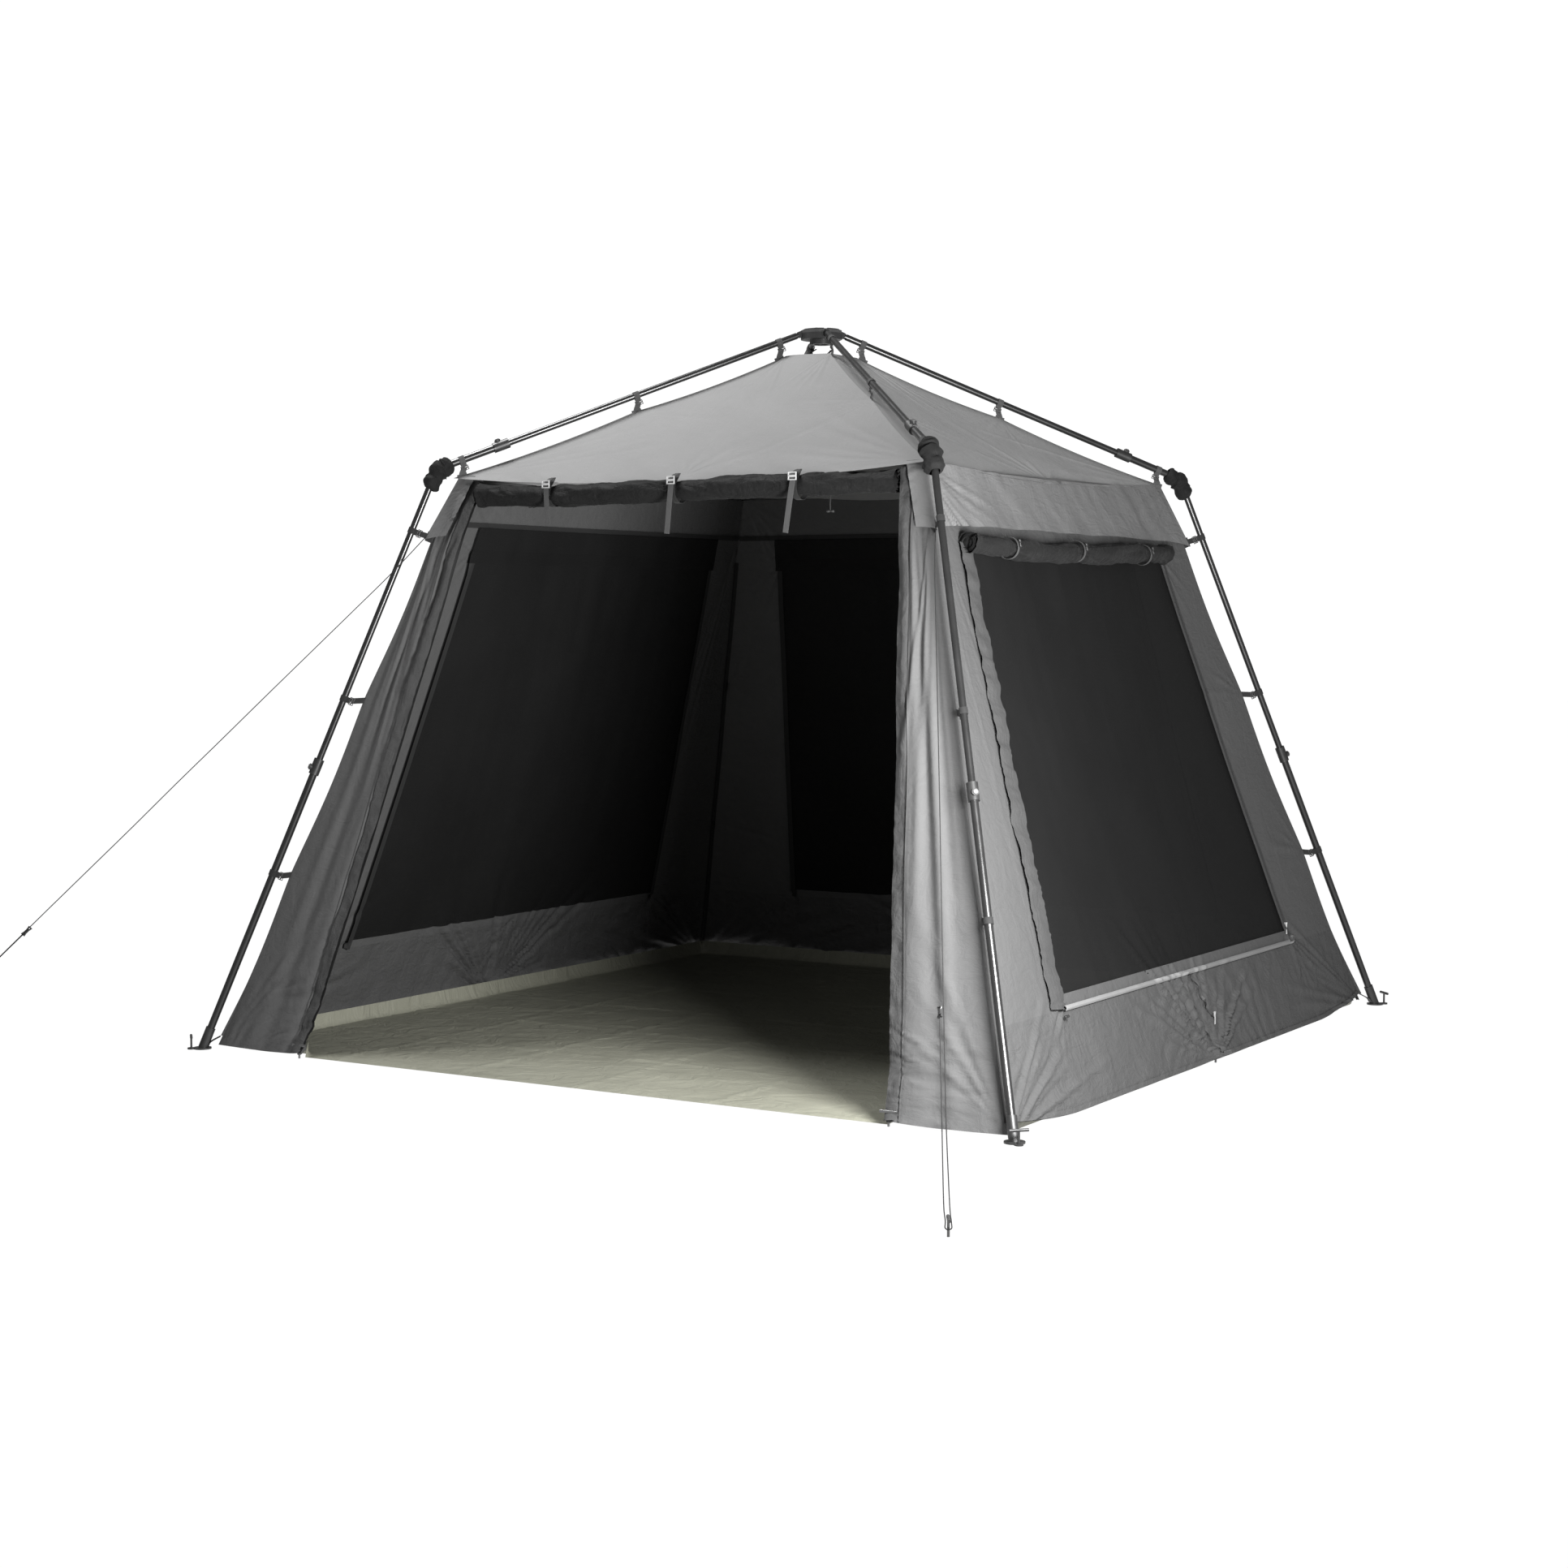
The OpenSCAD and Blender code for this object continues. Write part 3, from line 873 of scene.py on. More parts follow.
@dataclass
class Gather:
    """A piece of cloth's pole line: its top and bottom ends and the direction across it."""

    top: Array
    bottom: Array
    across: Array
    keep: float = 0.055

    def apply(self, piece: bpy.types.Object, body: str) -> None:
        """Hangs the piece on a body and gives it a mesh of its own."""
        line = self.bottom - self.top
        line = line / np.linalg.norm(line)
        axis = self.across - (self.across @ line) * line
        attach(piece, body)
        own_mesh(piece)


def side_gather(side: Side, half: int, top: tuple[float, float], bottom: tuple[float, float]) -> Gather:
    """The pole line along a corner's seam, given by half width and height at its two ends."""
    ends = np.array([[half * top[0], -top[0], top[1]], [half * bottom[0], -bottom[0], bottom[1]]])
    ends = side.to_room(ends)
    return Gather(ends[0], ends[1], side.to_room(np.array([1.0, 0.0, 0.0])))


# ---- Roof -------------------------------------------------------------------------------------


@dataclass
class Roof:
    """Four roof gores that hang from the arms, the small flat crown and the eave band."""

    finishes: Finishes
    step: float = 0.0095
    sag: float = 0.030
    eave_droop: float = 0.016
    overlap: float = 0.018

    @property
    def slope(self) -> tuple[float, float, float]:
        """Run, drop and length of a gore's middle line."""
        run = PLAN.eave_half - PLAN.crown_half
        drop = PLAN.crown_z - PLAN.eave_z
        return run, drop, math.hypot(run, drop)

    def ridge_dip(self, share: Array) -> Array:
        """How far the ridge seam hangs below the straight line between its straps."""
        half_of = [r / math.sqrt(2) for r in PLAN.arm_strap_radials]
        held = [0.0] + [(h - PLAN.crown_half) / (PLAN.eave_half - PLAN.crown_half) for h in half_of]
        held = np.array([held[0], held[2], 1.0])
        span = np.clip(np.searchsorted(held, np.clip(share, 0, 0.9999), side="right") - 1, 0, 1)
        t = np.clip((share - held[span]) / (held[span + 1] - held[span]), 0, 1)
        return 0.011 * np.sin(math.pi * t) ** 0.8

    def at(self, side: Side, s: Array, t: Array, folds: Sequence[Fold], ripple: Ripple) -> Array:
        """Points of a gore.

        Args:
            side: The side that the gore faces.
            s: Place across the gore, from -1 at its left ridge to 1.
            t: Place down the gore, from 0 at the crown to 1 at the eave.
            folds: Tension folds, over x and the distance down the slope.
            ripple: Noise for the soft unevenness.

        Returns:
            Points in the room.
        """
        run, drop, length = self.slope
        half = PLAN.crown_half + run * t
        x = s * half
        inner = 1 - np.abs(s) ** 3.2
        hollow = self.sag * (1 - s * s) * (np.clip(t, 0, 1) ** 0.7) * (1 - 0.35 * np.clip(t, 0, 1) ** 4)
        down = t * length
        relief = fold_heights(folds, x, down) + 0.0025 * ripple.layered(x * 3.1, down * 3.7, 3)
        out = -hollow + relief * inner
        normal_y, normal_z = -drop / length, run / length
        droop = self.eave_droop * (1 - np.abs(s) ** 2.4) * np.clip((t - 0.8) / 0.2, 0, 1.2) ** 2
        y = -half + out * normal_y
        z = PLAN.crown_z - drop * t + out * normal_z - self.ridge_dip(t) * np.abs(s) ** 2.5 - droop
        return side.to_room(np.stack([x, y, z], axis=-1))

    def gore_folds(self, side: Side) -> list[Fold]:
        """Tension folds from the eave corners, the straps and the crown."""
        _, _, length = self.slope
        seed = side.value
        folds = []
        for half in (-1, 1):
            corner = (half * PLAN.eave_half, length)
            heading = (185, 268) if half > 0 else (-5, -88)
            folds += fan(corner, heading, 9, (0.35, 0.95), 0.016, 0.0055, seed + 3 + half)
            middle = (half * 0.46, length * 0.465)
            heading = (120, 200) if half > 0 else (60, -20)
            folds += fan(middle, heading, 5, (0.18, 0.45), 0.013, 0.0035, seed + 7 + half)
            crown = (half * PLAN.crown_half, 0.0)
            folds += fan(crown, (70, 110), 4, (0.2, 0.5), 0.012, 0.003, seed + 13 + half)
        folds += fan((0.0, length), (200, 340), 5, (0.2, 0.5), 0.02, 0.003, seed + 19)
        return folds

    def band_at(self, side: Side, s: Array, t: Array, folds: Sequence[Fold], ripple: Ripple) -> Array:
        """Points of the eave band: s across from corner to corner, t from its top seam down."""
        half = PLAN.eave_half + (PLAN.band_half - PLAN.eave_half) * t
        x = s * half
        top_z = PLAN.eave_z - self.eave_droop * (1 - np.abs(s) ** 2.4)
        hem = PLAN.band_z + 0.020 * (1 - s**2) + 0.006 * ripple.at(x * 5 + 3, x * 0 + 1.5)
        z = top_z + (hem - top_z) * t
        hollow = 0.018 * (1 - s * s)
        wave = 0.011 * t * ripple.layered(x * 4.2, t * 0.6, 2)
        relief = fold_heights(folds, x, z) + 0.004 * ripple.layered(x * 9, z * 9 + x * 6, 2)
        drawn_in = 0.018 * t * (1 - np.abs(s) ** 6)
        out = -hollow * (1 - 0.4 * t) - drawn_in + (wave + relief) * (1 - np.abs(s) ** 8)
        tip = 0.010 * np.abs(s) ** 30 * t
        y = -(half + tip) - out * 0.94
        z = z + out * 0.3 - 0.010 * np.abs(s) ** 30 * t
        return side.to_room(np.stack([x + np.sign(s) * tip, y, z], axis=-1))

    def make_gore(self, side: Side) -> None:
        """Builds a gore in its two halves, with the crown's quarters on two of the gores."""
        _, _, length = self.slope
        reach = 1.0 + (self.overlap / length if side is Side.FRONT else 0.0)
        t_values = lines(reach, 0.465, 0.0, step=self.step / length)
        s_values = lines(-1, 0, 1, step=self.step / PLAN.eave_half)
        s, t = np.meshgrid(s_values, t_values)
        ripple = Ripple(41 + side.value)
        points = self.at(side, s, t, self.gore_folds(side), ripple)
        weave = np.stack([s * (PLAN.crown_half + self.slope[0] * t), -t * length], axis=-1)
        net = ClothNet(points, weave)
        middle = len(s_values) // 2
        for half, columns in ((-1, slice(0, middle + 1)), (1, slice(middle, len(s_values)))):
            corner = side.corner(half)
            part = net.part(slice(0, len(t_values)), columns)
            nets = [part]
            if half > 0:
                nets.append(self.crown_quarter(side))
            piece = build_piece(f"roof_{side.code}_{corner.code}", nets, [self.finishes.roof] * len(nets))
            gather = side_gather(
                side, half, (PLAN.crown_half, PLAN.crown_z), (PLAN.eave_half, PLAN.eave_z)
            )
            gather.apply(piece, f"arm_inner_{corner.code}")
            self.declare(piece, part, "roof", "roof_fabric", f"arm_inner_{corner.code}")

    def crown_quarter(self, side: Side) -> ClothNet:
        """The quarter of the flat crown between the middle and this gore's right corner."""
        values = np.linspace(0, 1, 9)
        a, b = np.meshgrid(values, values)
        x, y = a * PLAN.crown_half, -(1 - b) * PLAN.crown_half
        z = PLAN.crown_z - 0.006 * (1 - (x / PLAN.crown_half) ** 2) * (1 - (y / PLAN.crown_half) ** 2)
        points = side.to_room(np.stack([x, y, z], axis=-1))
        return ClothNet(points, np.stack([x, y], axis=-1))

    def make_band(self, side: Side) -> None:
        """Builds a side's eave band in halves; the front has only its two ends beside the doorway."""
        ripple = Ripple(77 + side.value)
        seed = side.value
        folds = fan((-PLAN.band_half, PLAN.eave_z), (-62, -12), 8, (0.3, 0.85), 0.013, 0.010, seed + 1)
        folds += fan((PLAN.band_half, PLAN.eave_z), (-118, -165), 6, (0.2, 0.55), 0.013, 0.008, seed + 2)
        door = 0.82 / PLAN.eave_half
        inner = door if side is Side.FRONT else 0.0
        spans = {-1: (-1.0, -inner), 1: (inner, 1.0)}
        for half, (low, high) in spans.items():
            s_values = lines(low, high, step=self.step / PLAN.eave_half)
            t_values = lines(1.0, 0.0, step=0.045)
            s, t = np.meshgrid(s_values, t_values)
            points = self.band_at(side, s, t, folds, ripple)
            slant = math.hypot(PLAN.eave_z - PLAN.band_z, PLAN.band_half - PLAN.eave_half)
            weave = np.stack([s * PLAN.eave_half, -t * slant], axis=-1)
            corner = side.corner(half)
            net = ClothNet(points, weave)
            piece = build_piece(f"eave_band_{side.code}_{corner.code}", [net], [self.finishes.band])
            gather = side_gather(
                side, half, (PLAN.eave_half, PLAN.eave_z), (PLAN.band_half, PLAN.band_z)
            )
            gather.apply(piece, f"leg_upper_{corner.code}")
            self.declare(piece, net, "roof", "roof_fabric", f"leg_upper_{corner.code}")

    def declare(self, piece: bpy.types.Object, net: ClothNet, node: str, slot: str, rests: str) -> None:
        """Hides the frame node that the piece stands for and works out the cut of its cloth."""
        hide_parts(node)
        flat, area = net.cut_size()

    def build(self) -> None:
        """Builds the roof."""
        for side in Side:
            self.make_gore(side)
            self.make_band(side)
        log.info("roof: four gores, the crown and the eave band")


# ---- Walls ------------------------------------------------------------------------------------


@dataclass
class Wall:
    """A leaning wall of cloth. Places on it are x along the wall and height z."""

    side: Side
    finishes: Finishes
    step: float = 0.0095
    mud_z: float = 0.285
    sill_z: float = 0.325
    window_top_z: float = 1.65
    hem_rise: float = 0.040
    folds: list[Fold] = field(default_factory=list)
    seed: int = 5

    def __post_init__(self) -> None:
        """Draws the wall's noise."""
        self.ripple = Ripple(self.seed + self.side.value)
        self.crush = Ripple(self.seed + self.side.value + 1)

    @property
    def pegs(self) -> list[float]:
        """Where the hem is held to the ground, along the wall."""
        return [-PLAN.tent_half, 0.0, PLAN.tent_half]

    def hem_z(self, x: Array) -> Array:
        """Height of the hem, which hangs in a curve between its pegs."""
        held = np.array(self.pegs)
        x = np.clip(x, held[0] + 1e-6, held[-1] - 1e-6)
        span = np.clip(np.searchsorted(held, x, side="right") - 1, 0, len(held) - 2)
        share = (x - held[span]) / (held[span + 1] - held[span])
        corner = np.clip(1 - (PLAN.tent_half - np.abs(x)) / 0.45, 0, 1) ** 1.5
        peg = np.exp(-np.minimum(share, 1 - share) * (held[span + 1] - held[span]) / 0.05)
        return 0.003 + self.hem_rise * corner + 0.007 * peg * (corner < 0.5)

    def relief(self, x: Array, z: Array) -> Array:
        """How far the cloth stands out of its leaning plane."""
        low = np.clip((self.mud_z - z) / 0.05, 0, 1) * np.clip(z / 0.03 + 0.3, 0, 1)
        lean = 0.5 * self.ripple.at(x * 1.7 + 4, z * 3.0) - 0.5 * np.sign(x)
        turned, across = x * np.cos(lean) + z * np.sin(lean), -x * np.sin(lean) + z * np.cos(lean)
        crush = self.crush.creased(turned * 4.0, across * 17.0, 2)
        soft = self.ripple.layered(x * 2.3, z * 1.9, 3)
        return fold_heights(self.folds, x, z) + 0.0095 * crush * low + 0.0035 * soft

    def at(self, x: Array, z: Array, lift: Array | float = 0.0) -> Array:
        """Points of the wall in the room.

        Args:
            x: Place along the wall.
            z: Height on the leaning plane.
            lift: Distance outward of the cloth.

        Returns:
            The points.
        """
        x, z = np.broadcast_arrays(np.asarray(x, float), np.asarray(z, float))
        full, corner = PLAN.wall_half(z), PLAN.corner_half(z)
        share = np.clip(np.abs(x) / np.maximum(corner, 1e-6), 0, 1)
        edge = 1 - share**10
        hollow = 0.014 * (1 - share**2) * np.sin(math.pi * np.clip(z / PLAN.wall_top_z, 0, 1))
        out = (self.relief(x, z) - hollow + self.peg_pull(x, z)) * edge + lift
        y = -(full + (corner - full) * share**5) - out * math.cos(PLAN.lean)
        points = np.stack([x, y, np.maximum(z + out * math.sin(PLAN.lean), 0.0025)], axis=-1)
        return self.side.to_room(points)

    def edge_x(self, z: Array) -> Array:
        """Half width of the cloth at a height, at its corner seams."""
        return PLAN.corner_half(z)

    def peg_pull(self, x: Array, z: Array) -> Array:
        """How far the pegs between the corners pull the hem outward."""
        low = np.clip(1 - z / 0.16, 0, 1) ** 2
        total = np.zeros(np.broadcast(x, z).shape)
        for peg in self.pegs[1:-1]:
            total += 0.028 * low * np.exp(-np.abs(x - peg) / 0.12)
        return total

    def net(self, x: Array, z: Array, lift: Array | float = 0.0, open_cells: Array | None = None) -> ClothNet:
        """A net of the wall's cloth with its weave in metres."""
        weave = np.stack([x, z / math.cos(PLAN.lean)], axis=-1)
        return ClothNet(self.at(x, z, lift), weave, open_cells)

    def gather(self, half: int) -> Gather:
        """The pole line of this wall's cloth on the leg at one of its ends."""
        return side_gather(
            self.side, half, (PLAN.wall_top_half, PLAN.wall_top_z), (PLAN.tent_half, 0.0)
        )

    def hang(self, piece: bpy.types.Object, half: int, level: Level) -> None:
        """Hangs a piece of the wall on the tube of its leg."""
        corner = self.side.corner(half)
        self.gather(half).apply(piece, f"leg_{level.value}_{corner.code}")

    def name(self, what: str, half: int, level: Level) -> str:
        """Name of a piece of this wall."""
        return f"{what}_{self.side.code}_{self.side.corner(half).code}_{level.value}"

    def declare(
        self, piece: bpy.types.Object, net: ClothNet, half: int, slot: str, nodes: Sequence[str]
    ) -> None:
        """Hides the frame nodes that the piece stands for and works out the cut of its cloth."""
        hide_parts(*nodes)
        flat, area = net.cut_size()
        corner = self.side.corner(half)

    def ribbon(
        self,
        spine: Callable[[Array], tuple[Array, Array]],
        span: tuple[float, float],
        width: float,
        lift: float,
        pucker: float = 0.0,
        pitch: float = 0.035,
        crown: float = 0.0,
    ) -> ClothNet:
        """A narrow strip sewn on the wall.

        Args:
            spine: Gives x and z of the strip's middle line for values of its parameter.
            span: First and last value of the parameter, which runs in metres along the strip.
            width: Width of the strip.
            lift: Distance of the strip from the wall's cloth.
            pucker: Height of the gathers across the strip.
            pitch: Distance between gathers.
            crown: Extra height of the strip's middle line.

        Returns:
            The strip's net.
        """
        along = lines(span[0], span[1], step=0.008)
        side = np.linspace(-0.5, 0.5, 5)
        a, b = np.meshgrid(along, side)
        x0, z0 = spine(a)
        x1, z1 = spine(a + 1e-3)
        dx, dz = x1 - x0, z1 - z0
        length = np.hypot(dx, dz)
        x = x0 - dz / length * b * width
        z = z0 + dx / length * b * width
        draw = Ripple(self.seed + 90)
        wave = draw.creased(a / pitch, b * 0.9 + 4, 2) + 0.5 * draw.layered(a / pitch * 0.6 + b, b * 1.5, 2)
        rise = lift + pucker * wave + crown * (1 - 4 * b * b)
        weave = np.stack([a, b * width], axis=-1)
        return ClothNet(self.at(x, z, rise), weave)


@dataclass
class WindowWall(Wall):
    """A wall with a mesh window and a mud wall below it."""

    cover_open: bool = False

    def __post_init__(self) -> None:
        """Draws the wall's tension folds."""
        super().__post_init__()
        half, top = PLAN.tent_half, PLAN.wall_top_z
        s = self.seed + self.side.value
        self.folds = (
            fan((-0.02, 0.29), (-160, -20), 7, (0.15, 0.3), 0.012, 0.010, s)
            + fan((0.0, 0.0), (14, 78), 8, (0.25, 0.75), 0.015, 0.022, s + 1)
            + fan((0.0, 0.0), (102, 166), 8, (0.25, 0.75), 0.015, 0.022, s + 2)
            + fan((-half, 0.0), (5, 38), 7, (0.3, 0.95), 0.016, 0.017, s + 3)
            + fan((half, 0.0), (142, 175), 7, (0.3, 0.95), 0.016, 0.017, s + 4)
            + fan((PLAN.window_half(0.31), 0.31), (-20, -85), 6, (0.12, 0.35), 0.010, 0.009, s + 5)
            + fan((-PLAN.window_half(0.31), 0.31), (200, 265), 6, (0.12, 0.35), 0.010, 0.009, s + 6)
            + fan((PLAN.wall_half(0.58), 0.58), (95, 200), 5, (0.15, 0.45), 0.014, 0.008, s + 7)
            + fan((PLAN.wall_half(1.16), 1.16), (95, 215), 5, (0.12, 0.35), 0.013, 0.008, s + 8)
            + fan((PLAN.window_half(1.65), 1.65), (-80, 40), 4, (0.1, 0.3), 0.012, 0.006, s + 9)
            + fan((-0.93, 1.70), (-95, -70), 5, (0.5, 1.1), 0.020, 0.005, s + 10)
            + fan((PLAN.wall_top_half, top), (200, 262), 5, (0.15, 0.4), 0.014, 0.006, s + 11)
        )

    def grid(self) -> tuple[Array, Array, Array, list[int], list[int]]:
        """The wall's net lines: x and z of its points, its open cells, and its block stops."""
        z_stops = [0.0, self.mud_z, self.sill_z, PLAN.split_z, self.window_top_z, PLAN.wall_top_z]
        z_values = lines(*z_stops, step=self.step)
        blocks = [lines(a, a + 1, step=w) for a, w in ((0, 0.022), (1, 0.0125), (2, 0.0125), (3, 0.022))]
        u_values = np.concatenate([blocks[0]] + [b[1:] for b in blocks[1:]])
        u, z = np.meshgrid(u_values, z_values)
        edge, window = self.edge_x(z), PLAN.window_half(z)
        stops = [-edge, -window, np.zeros_like(z), window, edge]
        x = np.zeros_like(u)
        for k in range(4):
            inside = (u >= k) & (u <= k + 1)
            x = np.where(inside, stops[k] + (stops[k + 1] - stops[k]) * (u - k), x)
        hem = self.hem_z(x)
        z = np.where(z < self.mud_z, hem + (self.mud_z - hem) * z / self.mud_z, z)
        u_mid = (u_values[1:] + u_values[:-1]) / 2
        z_mid = (z_values[1:] + z_values[:-1]) / 2
        across = (u_mid > 1) & (u_mid < 3)
        up = (z_mid > self.sill_z) & (z_mid < self.window_top_z)
        column_stops = [0, int(np.argmin(np.abs(u_values - 2))), len(u_values) - 1]
        row_stops = [0, int(np.argmin(np.abs(z_values - PLAN.split_z))), len(z_values) - 1]
        return x, z, np.outer(up, across), column_stops, row_stops

    def build(self) -> None:
        """Builds the wall, its mesh, its mud wall and its trims."""
        x, z, cells, columns, rows = self.grid()
        whole = self.net(x, z, 0.0, cells)
        mud_row = int(np.argmin(np.abs(z[:, 0] - self.mud_z)))
        for half, (c0, c1) in ((-1, columns[:2]), (1, columns[1:])):
            side_columns = slice(c0, c1 + 1)
            upper = whole.part(slice(rows[1], rows[2] + 1), side_columns)
            middle = whole.part(slice(mud_row, rows[1] + 1), side_columns)
            mud = whole.part(slice(0, mud_row + 1), side_columns)
            piece = build_piece(self.name("wall", half, Level.UPPER), [upper], [self.finishes.wall])
            self.hang(piece, half, Level.UPPER)
            self.declare(piece, upper, half, "wall_fabric", [f"wall_{self.side.code}"])
            piece = build_piece(
                self.name("wall", half, Level.LOWER), [middle, mud], [self.finishes.wall, self.finishes.mud]
            )
            self.hang(piece, half, Level.LOWER)
            lower = whole.part(slice(0, rows[1] + 1), side_columns)
            self.declare(piece, lower, half, "wall_fabric", [f"wall_{self.side.code}"])
            self.make_mesh(half)
            self.make_trims(half)
            if not self.cover_open:
                self.make_cover(half)
        log.info("%s wall: cloth, mesh and trims", self.side.code)

    def panel(
        self, half: int, level: Level, spread: float, low: float, high: float, step: float
    ) -> tuple[Array, Array]:
        """Net lines of half a window-shaped panel at one level, wider than the window by spread."""
        z_low, z_high = (low, PLAN.split_z) if level is Level.LOWER else (PLAN.split_z, high)
        z_values = lines(z_low, z_high, step=step)
        share = lines(0.0, 1.0, step=step / 0.85)
        if half < 0:
            share = -share[::-1]
        s, z = np.meshgrid(share, z_values)
        return s * (PLAN.window_half(z) + spread), z

    def make_mesh(self, half: int) -> None:
        """Builds half of the window's mesh, which bellies softly behind the cloth."""
        for level in Level:
            x, z = self.panel(half, level, 0.012, self.sill_z - 0.012, self.window_top_z + 0.012, 0.016)
            tall = np.clip((z - self.sill_z) / (self.window_top_z - self.sill_z), 0, 1)
            wide = np.clip(np.abs(x) / PLAN.window_half(z), 0, 1)
            belly = 0.020 * (1 - wide**4) * np.sin(math.pi * tall) ** 0.7
            drape = 0.0028 * self.ripple.layered(x * 12, z * 1.3, 2) * (1 - wide**6)
            net = self.net(x, z, -0.004 - belly + drape)
            piece = build_piece(self.name("mesh", half, level), [net], [self.finishes.net])
            self.hang(piece, half, level)
            self.declare(piece, net, half, "insect_mesh", ["window_meshes"])

    def make_cover(self, half: int) -> None:
        """Builds half of the storm cover that closes the window from outside."""
        for level in Level:
            x, z = self.panel(half, level, 0.030, self.mud_z + 0.006, self.window_top_z + 0.030, 0.014)
            slack = 0.004 * self.crush.layered(x * 4.0 + 7, z * 2.6, 3)
            net = self.net(x, z, 0.009 + slack)
            piece = build_piece(self.name("cover", half, level), [net], [self.finishes.wall])
            self.hang(piece, half, level)
            self.declare(piece, net, half, "wall_fabric", [f"wall_{self.side.code}"])

    def window_edge(self, half: int) -> Callable[[Array], tuple[Array, Array]]:
        """Middle line of a strip along a window's upright edge, upward, with its height as parameter."""
        return lambda z: (half * PLAN.window_half(z), z)

    def make_trims(self, half: int) -> None:
        """Builds the strips along half of the window: zip, storm strip, piping, seams and tapes."""
        puckered = self.cover_open and half < 0
        for level in Level:
            lower = level is Level.LOWER
            low, high = (self.mud_z, PLAN.split_z) if lower else (PLAN.split_z, self.window_top_z)
            nets, materials = [], []
            edge = self.window_edge(half)
            if puckered:
                strip = self.ribbon(
                    lambda z: (half * (PLAN.window_half(z) + 0.010 + 0.030 * (1.65 - z) / 1.36), z),
                    (low, high),
                    0.085,
                    0.009,
                    0.0075,
                    0.032,
                    0.006,
                )
                nets.append(strip)
                materials.append(self.finishes.flap)
            else:
                outer = self.ribbon(edge, (low, high), 0.016, 0.013, 0.0012, 0.11)
                nets.append(outer)
                materials.append(self.finishes.zip)
            inner = self.ribbon(edge, (low, high), 0.022, -0.012)
            nets.append(inner)
            materials.append(self.finishes.dark_webbing)
            seam = self.ribbon(
                lambda z: (half * (self.edge_x(z) - 0.010), z),
                (0.02 if low < 0.5 else low, high),
                0.012,
                -0.003,
            )
            nets.append(seam)
            materials.append(self.finishes.dark_webbing)
            self.finish_trim(build_piece(self.name("trim", half, level), nets, materials), half, level)
        window = PLAN.window_half(self.mud_z)
        ends = (0.0, half * (window + 0.012)) if half > 0 else (half * (window + 0.012), 0.0)
        piping = self.ribbon(lambda x: (x, self.mud_z + 0 * x), ends, 0.015, 0.006, 0.0, 0.05, 0.005)
        span = (min(0, half * 1.455), max(0, half * 1.455))
        hem = self.ribbon(lambda x: (x, self.hem_z(x) + 0.008), span, 0.014, 0.0035)
        piece = build_piece(
            self.name("piping", half, Level.LOWER), [piping, hem], [self.finishes.piping, self.finishes.mud]
        )
        self.finish_trim(piece, half, Level.LOWER)
        # Painted shade: a dark net strip over the inside of a closed wall above its window.
        if not self.cover_open:
            self.make_lining(half)
        reach = half * (float(self.edge_x(1.745)) - 0.006)
        tape = self.ribbon(lambda x: (x, 1.745 + 0 * x), (min(0, reach), max(0, reach)), 0.018, -0.006)
        piece = build_piece(self.name("inner_tape", half, Level.UPPER), [tape], [self.finishes.dark_webbing])
        self.finish_trim(piece, half, Level.UPPER)

    def make_lining(self, half: int) -> None:
        """Builds a dark net strip inside a closed wall, between its window and the inner tape: painted shade
        over the wall above the window.
        """
        z_values, share = lines(self.window_top_z - 0.03, 1.74, step=0.015), lines(0.0, 1.0, step=0.04)
        s, z = np.meshgrid(share if half > 0 else -share[::-1], z_values)
        sway = 0.003 * self.ripple.layered(s * 9, z * 1.5, 2)
        net = self.net(s * (PLAN.window_half(z) + 0.020), z, -0.014 + sway)
        piece = build_piece(self.name("lining", half, Level.UPPER), [net], [self.finishes.net])
        self.hang(piece, half, Level.UPPER)
        self.declare(piece, net, half, "insect_mesh", ["window_meshes"])

    def finish_trim(self, piece: bpy.types.Object, half: int, level: Level) -> None:
        """Hangs a strip on its leg's tube."""
        self.hang(piece, half, level)


